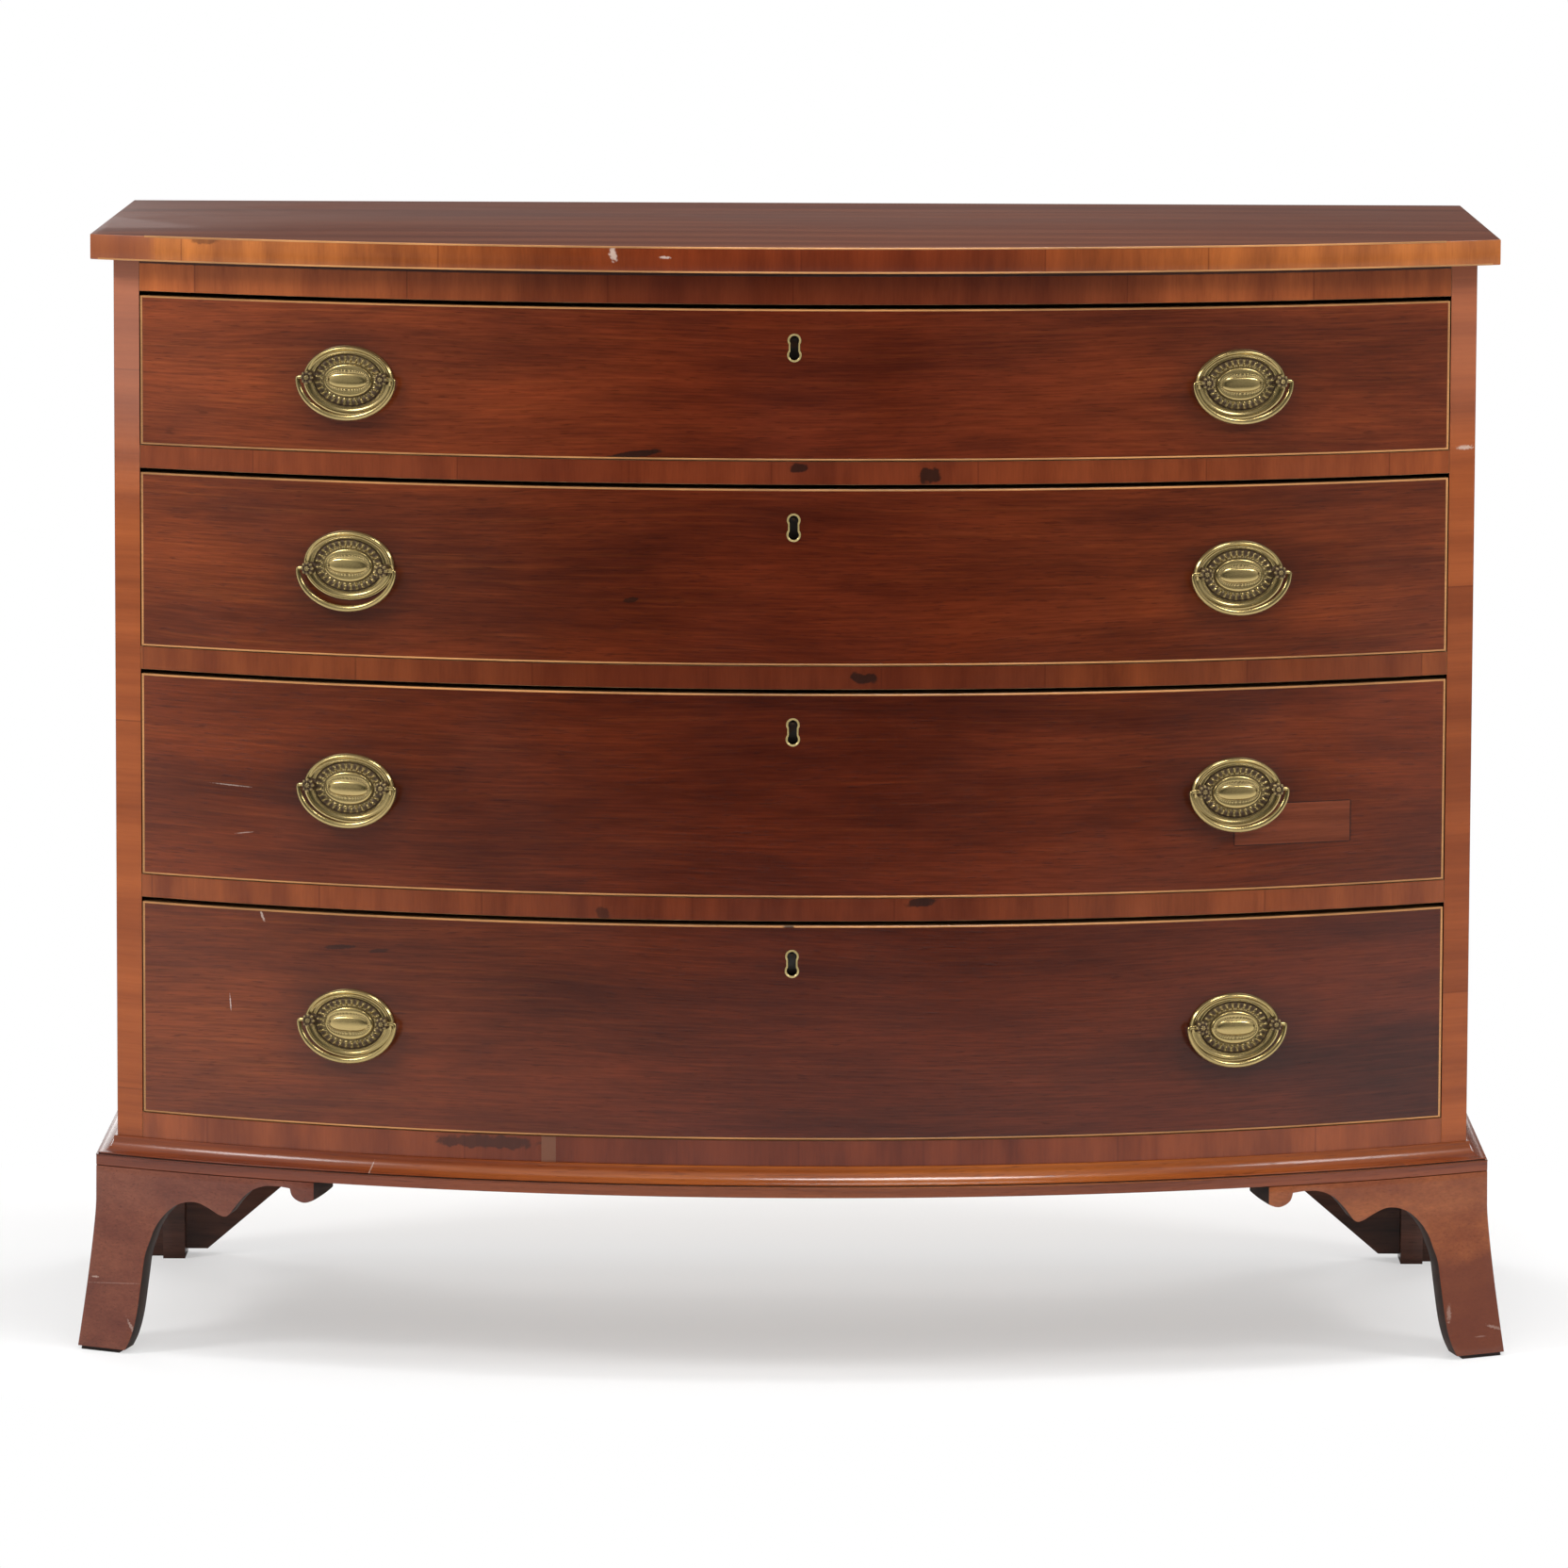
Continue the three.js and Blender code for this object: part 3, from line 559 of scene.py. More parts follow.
def woodMaterial(name, look):
    look = {**woodDefaults, **look}
    material, graph, shader = newMaterial(name)
    place, vector = grainVector(graph, look["axes"])
    across = graph.split(place)
    grain = useGroup(graph, grainGroup, {
        "Vector": vector,
        "Along": look["along"],
        "Across": look["across"],
        "Fibre Scale": look["fibres"],
        "Wander": look["wander"],
        "Seed": look["seed"],
    })
    colour = graph.mix(graph.range(grain["Figure"], *look["contrast"]), look["dark"], look["light"])
    if "streak" in look:
        colour = addStreaks(graph, colour, look, grain["Streaks"])
    if "fade" in look:
        colour = addEndLightAndFade(graph, colour, look, across["X"])
    if "blocks" in look:
        colour = addBlocks(graph, colour, look, across[look["blockAxis"].upper()])
    fibres = graph.range(grain["Fibres"], *look["fibreReach"], 1 - look["fibreShare"], 1.0)
    fibreTone = graph.add("ShaderNodeCombineColor", {0: fibres, 1: fibres, 2: fibres}).outputs[0]
    colour = graph.mix(1.0, colour, fibreTone, "MULTIPLY")
    pores = graph.math("MULTIPLY", grain["Pores"], look["poreShare"])
    colour = graph.mix(pores, colour, lighter(look["dark"], look["poreTone"]))
    rough = useGroup(graph, polishGroup, {
        "Vector": place,
        "Polished": look["polished"],
        "Rubbed": look["rubbed"],
    })["Roughness"]
    colour, rough = addMarks(graph, colour, rough, look, place)
    graph.feed(shader["Base Color"], colour)
    graph.feed(shader["Roughness"], rough)
    shader["Specular IOR Level"].default_value = look["specular"]
    if "coat" in look:
        shader["Coat Weight"].default_value = look["coat"]
        shader["Coat Roughness"].default_value = look["coatRoughness"]
    if "coatReach" in look:
        away = graph.math("ABSOLUTE", across["X"])
        coat = graph.range(away, *look["coatReach"], look["coat"], look["coatEnds"])
        graph.feed(shader["Coat Weight"], coat)
    sunk = graph.math("MULTIPLY", grain["Pores"], look["poreRelief"])
    height = graph.math("SUBTRACT", grain["Fibres"], sunk)
    bump = graph.add(
        "ShaderNodeBump",
        {"Height": height, "Strength": look["relief"], "Distance": look["reliefDepth"]},
    ).outputs[0]
    graph.feed(shader["Normal"], bump)
    return material


def lighter(colour, share):
    return tuple(value * share for value in colour)


# Tones of the finishes, as linear colours

tones = {
    "deepBrown": (0.062, 0.0082, 0.0029),
    "redBrown": (0.17, 0.0245, 0.0068),
    "flame": (0.26, 0.05, 0.0115),
    "string": (0.62, 0.285, 0.1),
    "stain": (0.012, 0.006, 0.004),
    "scuff": (0.62, 0.5, 0.42),
    "pineLight": (0.4, 0.235, 0.11),
    "pineDark": (0.24, 0.122, 0.05),
}

print("shader groups built")


# Marks on the drawer fronts and rails, at (x, z), with their width and height

darkMark = {"colour": tones["stain"], "share": 0.85, "ragged": 0.5, "dull": 0.0}
scuffMark = {"colour": tones["scuff"], "share": 0.6, "ragged": 1.1, "raggedScale": 700.0, "edge": 0.4}
lossMark = {
    "colour": (0.014, 0.006, 0.004), "share": 0.85, "squareness": 3.0, "ragged": 1.1, "raggedScale": 120.0,
    "dull": 0.0,
}

frontMarks = {
    1: [
        {**darkMark, "at": (-0.121, 0.7085), "size": (0.042, 0.005), "angle": 8, "raggedScale": 140.0},
    ],
    2: [
        {**darkMark, "at": (-0.123, 0.598), "size": (0.011, 0.004), "angle": 10, "share": 0.7},
    ],
    3: [
        {"at": (0.3826, 0.4223), "size": (0.0915, 0.0325), "colour": tones["stain"], "share": 0.8,
         "squareness": 40.0, "ragged": 0.02, "edge": 0.015, "dull": 0.0},
        {**scuffMark, "at": (-0.431, 0.4455), "size": (0.026, 0.0008), "angle": -3, "share": 0.4},
        {**scuffMark, "at": (-0.421, 0.4093), "size": (0.012, 0.0008), "angle": 8, "share": 0.4},
    ],
    4: [
        {**darkMark, "at": (-0.347, 0.325), "size": (0.024, 0.0035), "angle": 4, "share": 0.7},
        {**darkMark, "at": (-0.316, 0.3235), "size": (0.014, 0.003), "angle": 8, "share": 0.6},
        {**scuffMark, "at": (-0.407, 0.3455), "size": (0.0016, 0.008), "angle": 20, "share": 0.5},
        {**scuffMark, "at": (-0.4325, 0.277), "size": (0.0008, 0.011), "angle": 4, "share": 0.6},
    ],
}


# Painted shadow below each pull, with old wax dark around it: place from the pull, size and share
pullWaxAndShadow = {
    "offset": (0.004, -0.009), "size": (0.104, 0.078), "colour": tones["stain"], "share": 0.34,
    "ragged": 0.15, "raggedScale": 60.0, "edge": 0.45, "dull": 0.0,
}


def waxAndShadowMarks(number):
    low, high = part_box(f"drawer_{number}_front")
    outward, upward = pullWaxAndShadow["offset"]
    x = high.x - pullInset + outward
    z = (low.z + high.z) / 2 + upward
    return [{**pullWaxAndShadow, "at": (side * x, z)} for side in hands.values()]


# Each front's tone, darker lower down as painted shade, and how strongly painted light lifts it towards the
# left and right ends
frontTones = {1: (0.86, 0.75, 0.5), 2: (0.73, 0.8, 0.55), 3: (0.72, 0.5, 0.34), 4: (0.62, 0.95, 0.15)}


def frontMaterial(number):
    tone, endLightLeft, endLightRight = frontTones[number]
    return woodMaterial(f"drawer front mahogany {number}", {
        "axes": "xz0",
        "dark": lighter(tones["deepBrown"], tone),
        "light": lighter(tones["redBrown"], tone),
        "streak": lighter(tones["flame"], tone),
        "streakShare": 0.16,
        "along": 3.0,
        "across": 17.0,
        "wander": 0.03,
        "seed": 3.7 * number,
        "contrast": (0.27, 0.73),
        "fibreShare": 0.42,
        "fade": (2.4, 3.4, 2.9),
        "fadeReach": (0.0, 0.52),
        "fadeShares": (endLightLeft, endLightRight),
        "polished": 0.17,
        "rubbed": 0.26,
        "marks": waxAndShadowMarks(number) + frontMarks[number],
    })


frontMaterials = {number: frontMaterial(number) for number in drawerNumbers}
patchMaterial = woodMaterial("let-in patch", {
    "axes": "xz0", "dark": (0.1, 0.019, 0.006), "light": (0.19, 0.043, 0.015), "along": 3.0, "across": 90.0,
    "contrast": (0.3, 0.7), "seed": 52.0, "polished": 0.2, "rubbed": 0.26,
})

railMarks = {
    "top_rail": [
        # A dark strip along the top of the top rail: painted shadow cast by the overhang of the top
        {"at": (0, 0.8458), "size": (2.4, 0.0042), "colour": (0.012, 0.004, 0.002), "share": 0.85,
         "squareness": 12.0, "ragged": 0.2, "edge": 0.2, "dull": 0.3},
    ],
    "drawer_divider_1": [
        {**lossMark, "at": (0.104, 0.6935), "size": (0.016, 0.011)},
        {**lossMark, "at": (0.004, 0.7), "size": (0.012, 0.007)},
    ],
    "drawer_divider_2": [{**lossMark, "at": (0.054, 0.5395), "size": (0.017, 0.008)}],
    "drawer_divider_3": [
        {**lossMark, "at": (0.096, 0.3682), "size": (0.02, 0.0065)},
        {**lossMark, "at": (-0.144, 0.3585), "size": (0.009, 0.008), "share": 0.6},
    ],
    "bottom_rail": [
        {**lossMark, "at": (-0.232, 0.1795), "size": (0.07, 0.009), "share": 0.65},
        {"at": (-0.1852, 0.177), "size": (0.011, 0.03), "colour": (0.16, 0.066, 0.036), "share": 0.8,
         "squareness": 12.0, "ragged": 0.02, "edge": 0.02},
    ],
}


def crossbandMaterial(name, seed, marks=(), tone=1.0, axes="zx0", blockAxis="x", **changes):
    look = {
        "axes": axes,
        "dark": lighter((0.075, 0.011, 0.0036), tone),
        "light": lighter((0.19, 0.036, 0.0105), tone),
        "fade": (3.1, 4.4, 3.6),
        "fadeReach": (0.08, 0.5),
        "fadeShares": (0.85, 0.7),
        "along": 7.0,
        "across": 38.0,
        "wander": 0.01,
        "fibres": 620.0,
        "seed": seed,
        "contrast": (0.14, 0.86),
        "fibreShare": 0.1,
        "poreShare": 0.1,
        "blocks": 7.0,
        "blockAxis": blockAxis,
        "blockTint": (0.1, 0.016, 0.005),
        "blockShare": 0.38,
        "polished": 0.18,
        "rubbed": 0.265,
        "marks": marks,
    }
    look.update(changes)
    return woodMaterial(name, look)


# Each rail's tone, and how strongly painted light, partly faded polish, lifts it towards the left and right
# ends
railTones = {
    "top_rail": (0.93, 1.2, 0.85),
    "drawer_divider_1": (1.0, 0.25, 0.5),
    "drawer_divider_2": (0.72, 0.85, 0.55),
    "drawer_divider_3": (0.8, 0.6, 0.5),
    "bottom_rail": (1.02, 0.35, 0.35),
}
railMaterials = {
    name: crossbandMaterial(f"crossbanding {name}", 2.3 + 5.1 * i, railMarks[name], tone, fadeShares=endLights)
    for i, (name, (tone, *endLights)) in enumerate(railTones.items())
}
# Pale patches high on the stiles: painted haze of reflected light
paintedHazeMark = {"colour": (0.55, 0.33, 0.28), "squareness": 3.0, "ragged": 0.1, "edge": 0.6, "dull": 0.0}
stileMarks = {
    "left": [{**paintedHazeMark, "at": (-0.511, 0.81), "size": (0.06, 0.22), "share": 0.2}],
    "right": [
        {**paintedHazeMark, "at": (0.511, 0.82), "size": (0.06, 0.18), "share": 0.1},
        {**scuffMark, "at": (0.5153, 0.7058), "size": (0.012, 0.003)},
    ],
}
stileMaterials = {
    hand: crossbandMaterial(
        f"stile crossbanding {hand}", 31 + 4 * side, axes="xz0", blockAxis="z",
        along=1.5, across=42.0, blocks=3.2, blockShare=0.3, light=(0.165, 0.031, 0.0098),
        dark=(0.078, 0.0125, 0.0042), blockTint=(0.085, 0.012, 0.004), specular=0.25,
        marks=stileMarks[hand],
    )
    for hand, side in hands.items()
}
topEdgeMarks = [
    {**scuffMark, "at": (-0.1365, 0.8605), "size": (0.005, 0.0105), "angle": 10, "raggedScale": 420.0},
    {**scuffMark, "at": (-0.0975, 0.8585), "size": (0.0075, 0.0018)},
    {**darkMark, "at": (-0.45, 0.8645), "size": (0.02, 0.006), "share": 0.5},
    # A lighter patch at the left end of the top edge: painted light, partly faded polish
    {"at": (-0.52, 0.857), "size": (0.06, 0.04), "colour": (0.19, 0.044, 0.02), "share": 0.6,
     "squareness": 12.0, "ragged": 0.02, "edge": 0.15},
]
topEdgeMaterial = crossbandMaterial(
    "top edge crossbanding", 12.4, topEdgeMarks, blocks=5.0, light=(0.2, 0.034, 0.0085),
    fade=(3.0, 5.6, 4.4), blockShare=0.3, fadeShares=(1.0, 0.8),
)
topSideMaterial = crossbandMaterial("top side crossbanding", 17.9, axes="zy0", blockAxis="y")
topMaterial = woodMaterial("top mahogany", {
    "axes": "xyz",
    "dark": (0.075, 0.018, 0.008),
    "light": (0.15, 0.046, 0.021),
    "along": 1.6,
    "across": 30.0,
    "wander": 0.04,
    "seed": 8.8,
    "contrast": (0.25, 0.78),
    "fibreShare": 0.3,
    "specular": 0.25,
    "polished": 0.42,
    "rubbed": 0.54,
    "coat": 0.08,
    "coatRoughness": 0.1,
})
sideMaterial = woodMaterial("case side mahogany", {
    "axes": "zyx",
    "dark": (0.085, 0.017, 0.0075),
    "light": (0.18, 0.044, 0.019),
    "along": 1.8,
    "across": 20.0,
    "wander": 0.05,
    "contrast": (0.25, 0.75),
    "seed": 5.2,
    "specular": 0.28,
    "polished": 0.36,
    "rubbed": 0.44,
})
mouldingLook = {
    "axes": "xz0",
    "dark": (0.2, 0.04, 0.0075),
    "light": (0.42, 0.12, 0.018),
    "along": 2.0,
    "across": 70.0,
    "seed": 9.4,
    "contrast": (0.25, 0.75),
    "fade": (0.56, 0.42, 0.6),
    "fadeReach": (0.1, 0.42),
    "fadeShares": (1.0, 0.7),
    "polished": 0.2,
    "rubbed": 0.26,
    "marks": [{**scuffMark, "at": (-0.3217, 0.1566), "size": (0.0009, 0.009), "angle": -25, "share": 0.35}],
}
# The polish of the moulding shines in its middle and is worn towards its ends
mouldingMaterial = woodMaterial("moulding mahogany", {
    **mouldingLook, "coat": 0.65, "coatEnds": 0.06, "coatReach": (0.14, 0.3), "coatRoughness": 0.1,
})
# The flat below the bead of the moulding
fasciaMaterial = woodMaterial("moulding fascia mahogany", {
    **mouldingLook, "dark": (0.11, 0.025, 0.009), "light": (0.25, 0.065, 0.02), "seed": 14.4,
    "fade": (0.85, 0.8, 1.1),
})

footMarks = {
    "left": [
        {**scuffMark, "at": (-0.540, 0.057), "size": (0.005, 0.0013), "share": 0.35},
        {**scuffMark, "at": (-0.5046, 0.0348), "size": (0.0022, 0.01), "share": 0.3},
        {**scuffMark, "at": (-0.511, 0.0215), "size": (0.01, 0.002), "angle": -60, "share": 0.25,
         "ragged": 1.8},
        {**scuffMark, "at": (-0.524, 0.0535), "size": (0.046, 0.0006), "angle": 4, "share": 0.14},
    ],
    "right": [
        {"at": (0.531, 0.015), "size": (0.2, 0.13), "colour": (0.1, 0.022, 0.011), "share": 0.75,
         "squareness": 6.0, "ragged": 0.3, "raggedScale": 24.0, "edge": 0.12, "dull": 0.0},
        {**scuffMark, "at": (0.5093, 0.036), "size": (0.003, 0.012), "share": 0.2, "ragged": 1.8},
        {**scuffMark, "at": (0.546, 0.0224), "size": (0.012, 0.002), "angle": -20, "share": 0.2,
         "ragged": 1.8},
        {**scuffMark, "at": (0.535, 0.0164), "size": (0.008, 0.001), "share": 0.15},
    ],
    "rear": [],
}
footTones = {
    "left": ((0.12, 0.03, 0.017), (0.2, 0.06, 0.031)),
    "right": ((0.19, 0.047, 0.016), (0.31, 0.09, 0.028)),
    "rear": ((0.02, 0.008, 0.005), (0.12, 0.04, 0.022)),
}


def footMaterial(label, seed):
    return woodMaterial(f"foot mahogany {label}", {
        "axes": "xzy",
        "dark": footTones[label][0],
        "light": footTones[label][1],
        "along": 3.0,
        "across": 34.0,
        "contrast": (0.25, 0.75),
        "seed": seed,
        "polished": 0.22,
        "rubbed": 0.265,
        "marks": footMarks[label],
    })


footMaterials = {label: footMaterial(label, 35.5 + 6 * i) for i, label in enumerate(footMarks)}
# Near-black: dirt on the sawn edges, with painted shade in the moulding's groove and on the feet's cut edges
soiledAndShadedMaterial = woodMaterial("soiled and shaded cut edges", {
    "axes": "yxz", "dark": (0.008, 0.0035, 0.002), "light": (0.04, 0.014, 0.008), "along": 6.0,
    "across": 40.0, "seed": 71.0, "polished": 0.5, "rubbed": 0.7,
})


# Pine of the back, the drawers and the cores of the fronts, one cut of the grain for each board
def pineMaterial(name, axes, seed, **changes):
    look = {
        "axes": axes,
        "dark": tones["pineDark"],
        "light": tones["pineLight"],
        "along": 0.8,
        "across": 95.0,
        "wander": 0.035,
        "contrast": (0.28, 0.66),
        "seed": seed,
        "fibres": 330.0,
        "fibreShare": 0.3,
        "poreShare": 0.1,
        "polished": 0.62,
        "rubbed": 0.78,
        "relief": 0.25,
        "specular": 0.25,
    }
    look.update(changes)
    return woodMaterial(name, look)


pineMaterials = {
    "lengthwise": pineMaterial("drawer pine", "xyz", 1.1),
    "deepwise": pineMaterial("drawer side pine", "yzx", 6.1),
    "bottom": pineMaterial("drawer bottom pine", "xyz", 14.6, across=70.0),
    "upperBack": pineMaterial("upper back pine", "xzy", 21.3, across=42.0, light=(0.33, 0.19, 0.09)),
    "lowerBack": pineMaterial("lower back pine", "xzy", 27.8, across=36.0, dark=(0.19, 0.095, 0.04)),
}
stringMaterial = woodMaterial("string inlay", {
    "axes": "xz0", "dark": lighter(tones["string"], 0.6), "light": tones["string"], "along": 5.0,
    "across": 5.0, "wander": 0.0, "fibres": 900.0, "seed": 2.9, "polished": 0.3, "rubbed": 0.4,
    "poreShare": 0.15, "fibreShare": 0.3,
    "marks": [{**lossMark, "at": (-0.003, 0.3503), "size": (0.008, 0.005)}],
})


brassLook = {
    "ridges": ((0.47, 0.345, 0.15), (0.38, 0.3, 0.12)),
    "hollows": (0.05, 0.026, 0.01),
    "ridgeScale": 40.0,
    "cloudScale": 55.0,
    "clouds": 0.45,
    "grimeReach": (0.1, 0.95),
    "grimyMetal": 0.4,
    "roughness": (0.19, 0.5),
    "scratchScale": 420.0,
    "relief": {"Strength": 0.05, "Distance": 0.0002},
}
ironLook = {
    "clean": (0.09, 0.085, 0.08),
    "rust": (0.12, 0.05, 0.025),
    "rustScale": 70.0,
    "rustReach": (0.45, 0.7),
    "metal": (0.9, 0.2),
    "roughness": (0.42, 0.8),
    "relief": {"Strength": 0.3, "Distance": 0.0003},
}


# Old brass: bright on the ridges, brown and greenish in the hollows
def brassMaterial(name, polishedMetal):
    material, graph, shader = newMaterial(name)
    look = brassLook
    place = graph.add("ShaderNodeTexCoord").outputs["Object"]
    hollow = graph.add("ShaderNodeAttribute", attribute_name="hollow").outputs["Fac"]
    cloud = graph.math("SUBTRACT", graph.noise(place, look["cloudScale"], detail=3.0), 0.5)
    grime = graph.math("ADD", hollow, graph.math("MULTIPLY", cloud, look["clouds"]))
    grime = graph.range(grime, *look["grimeReach"])
    rubbed = graph.mix(graph.noise(place, look["ridgeScale"]), *look["ridges"])
    graph.feed(shader["Base Color"], graph.mix(grime, rubbed, look["hollows"]))
    graph.feed(shader["Roughness"], graph.range(grime, 0.0, 1.0, *look["roughness"]))
    graph.feed(shader["Metallic"], graph.range(grime, 0.0, 1.0, polishedMetal, look["grimyMetal"]))
    scratches = graph.noise(place, look["scratchScale"])
    bump = graph.add("ShaderNodeBump", {"Height": scratches, **look["relief"]})
    graph.feed(shader["Normal"], bump.outputs[0])
    return material


def ironMaterial():
    material, graph, shader = newMaterial("lock iron")
    look = ironLook
    place = graph.add("ShaderNodeTexCoord").outputs["Object"]
    rust = graph.range(graph.noise(place, look["rustScale"], 6.0, 0.7), *look["rustReach"])
    graph.feed(shader["Base Color"], graph.mix(rust, look["clean"], look["rust"]))
    graph.feed(shader["Metallic"], graph.range(rust, 0.0, 1.0, *look["metal"]))
    graph.feed(shader["Roughness"], graph.range(rust, 0.0, 1.0, *look["roughness"]))
    bump = graph.add("ShaderNodeBump", {"Height": rust, **look["relief"]})
    graph.feed(shader["Normal"], bump.outputs[0])
    return material


# A near-black sleeve: painted shade deep inside the keyhole, with some dirt
def keyholeShadeMaterial():
    material, graph, shader = newMaterial("keyhole painted shade")
    place = graph.add("ShaderNodeTexCoord").outputs["Object"]
    dirt = graph.noise(place, scale=300.0, detail=3.0)
    graph.feed(shader["Base Color"], graph.mix(dirt, (0.002, 0.0015, 0.001), (0.006, 0.004, 0.003)))
    shader["Roughness"].default_value = 1.0
    shader["Specular IOR Level"].default_value = 0.05
    return material


brass = brassMaterial("antique brass", 0.88)
linerBrass = brassMaterial("keyhole brass", 0.35)
iron = ironMaterial()
keyholeShade = keyholeShadeMaterial()
print("materials built")


# Carried-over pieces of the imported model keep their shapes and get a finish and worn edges

carried = {
    "case_side_left": sideMaterial,
    "case_side_right": sideMaterial,
    "top_rail": pineMaterials["lengthwise"],
    "bottom_rail": pineMaterials["lengthwise"],
    "bottom_board": pineMaterials["bottom"],
    "back_board_lower": pineMaterials["lowerBack"],
    "back_board_upper": pineMaterials["upperBack"],
}
for number in (1, 2, 3):
    carried[f"drawer_divider_{number}"] = pineMaterials["lengthwise"]
for number in drawerNumbers:
    carried[f"drawer_{number}_front"] = pineMaterials["lengthwise"]
    carried[f"drawer_{number}_back"] = pineMaterials["lengthwise"]
    carried[f"drawer_{number}_bottom"] = pineMaterials["bottom"]
    carried[f"lock_{number}"] = iron
    carried[f"lock_bolt_{number}"] = iron
    for hand in hands:
        carried[f"drawer_{number}_side_{hand}"] = pineMaterials["deepwise"]

wornEdge = 0.0004
for name, material in carried.items():
    node = nodes[name]
    node.data.materials.clear()
    node.data.materials.append(material)
    roundEdges(node, wornEdge)
print("packed pieces finished:", len(carried))


# Top board

topBoard = {
    "string": 0.0016,
    "stringProud": 0.00015,
    "topStringHalf": 0.497,
    "bottomStringHalf": 0.534,
    "rounding": 0.0007,
    "stringRounding": 0.0004,
    "columns": 140,
}


def buildTopBoard():
    low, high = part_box("top_board")
    half = high.x
    radius = (half ** 2 + bow ** 2) / (2 * bow)
    centreY = low.y + radius
    rounding = topBoard["rounding"]
    slight = rounding * 0.3
    levels = [
        (low.z, rounding), (low.z + slight, slight), (low.z + rounding, 0),
        (high.z - rounding, 0), (high.z - slight, slight), (high.z, rounding),
    ]
    columns = topBoard["columns"]
    rings = []
    for z, inset in levels:
        edge = half - inset
        ring = []
        for i in range(columns + 1):
            x = -edge + 2 * edge * i / columns
            ring.append((x, arcY(radius - inset, x, centreY), z))
        ring += [(edge, high.y - inset, z), (-edge, high.y - inset, z)]
        rings.append(ring)
    board = loftRings("top_board_veneered", rings)
    dress(board, "case", "top_mahogany", topMaterial, "top_board")
    board.data.materials.append(topEdgeMaterial)
    board.data.materials.append(topSideMaterial)
    for face in board.data.polygons:
        if abs(face.normal.z) < 0.9 and face.normal.y <= 0.5:
            face.material_index = 2 if abs(face.normal.x) > 0.8 else 1
    size, proud = topBoard["string"], topBoard["stringProud"]
    strings = []
    for label, halfLength, fromZ, toZ in (
        ("upper", topBoard["topStringHalf"], high.z - size, high.z + proud / 3),
        ("lower", topBoard["bottomStringHalf"], low.z - proud / 3, low.z + size),
    ):
        section = sheetSection(radius, size, proud, fromZ, toZ, topBoard["stringRounding"])
        strings.append(sweepBow(f"string_{label}", section, -halfLength, halfLength, columns, centreY))
    dress(joinObjects("top_edge_strings", strings), "case", "crossbanding", stringMaterial)


buildTopBoard()


# Rails and stiles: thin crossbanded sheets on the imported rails

banding = {"depth": 0.0006, "stileDepth": 0.001, "proud": 0.0003, "inset": 0.0002, "columns": 120}


def buildBanding():
    depth, proud, inset = banding["depth"], banding["proud"], banding["inset"]
    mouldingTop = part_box("base_moulding")[1].z
    for name, material in railMaterials.items():
        low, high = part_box(name)
        fromZ = mouldingTop - proud if name == "bottom_rail" else low.z + inset
        section = sheetSection(frontRadius, depth, proud, fromZ, high.z - inset)
        half = openingHalf - inset
        sheet = sweepBow(f"{name}_banding", section, -half, half, banding["columns"])
        dress(sheet, "case", "crossbanding", material)
    for hand, side in hands.items():
        low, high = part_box(f"case_side_{hand}")
        fromZ = mouldingTop - proud
        section = sheetSection(frontRadius, banding["stileDepth"], proud, fromZ, high.z - inset)
        ends = (side * (openingHalf + inset), side * (caseHalf - inset))
        sheet = sweepBow(f"stile_banding_{hand}", section, min(ends), max(ends), 6)
        dress(sheet, "case", "crossbanding", stileMaterials[hand])


buildBanding()
print("top, rails and stiles veneered")


# Base moulding: offsets out from the case and heights above the feet

moulding = {
    "height": 0.0223,
    "projection": 0.016,
    "seam": 0.0003,
    "fascia": 0.0077,
    "bead": 0.0011,
    "groove": 0.0007,
    "grooveDepth": 0.0017,
    "lip": 0.0021,
    "arrisReach": 0.0027,
    "arrisHeight": 0.0016,
    "rounding": 0.0004,
    "inset": 0.0003,
    "arcSteps": 12,
    "stations": 140,
}


def mouldingSection():
    size = moulding
    reach, seam, rounding, steps = size["projection"], size["seam"], size["rounding"], size["arcSteps"]
    section = [(size["inset"], seam), (reach - seam, seam), (reach, seam * 2), (reach, size["fascia"])]
    beadRadius = size["bead"] / 2
    beadCentre, beadMiddle = reach - beadRadius * 0.6, size["fascia"] + beadRadius
    for i in range(1, steps):
        turn = math.pi * (i / steps - 0.5)
        section.append((beadCentre + beadRadius * math.cos(turn), beadMiddle + beadRadius * math.sin(turn)))
    grooveZ = size["fascia"] + size["bead"]
    lipZ = grooveZ + size["groove"]
    section.append((reach - size["grooveDepth"], grooveZ))
    section.append((reach - size["grooveDepth"], lipZ))
    section.append((reach - size["lip"] * 0.45, lipZ + rounding * 0.5))
    coveFloor = lipZ + rounding * 2
    coveHeight = size["height"] - size["arrisHeight"] - coveFloor
    coveReach = reach - size["lip"] - size["arrisReach"]
    for i in range(steps + 1):
        turn = math.pi / 2 * i / steps
        section.append((
            reach - size["lip"] - coveReach * math.sin(turn),
            coveFloor + coveHeight * (1 - math.cos(turn)),
        ))
    top, edge = size["height"], size["arrisReach"]
    section.append((edge, top - rounding * 1.5))
    section.append((edge - rounding * 0.4, top - rounding * 0.4))
    section.append((edge - rounding * 1.5, top))
    section.append((size["inset"], top))
    return section


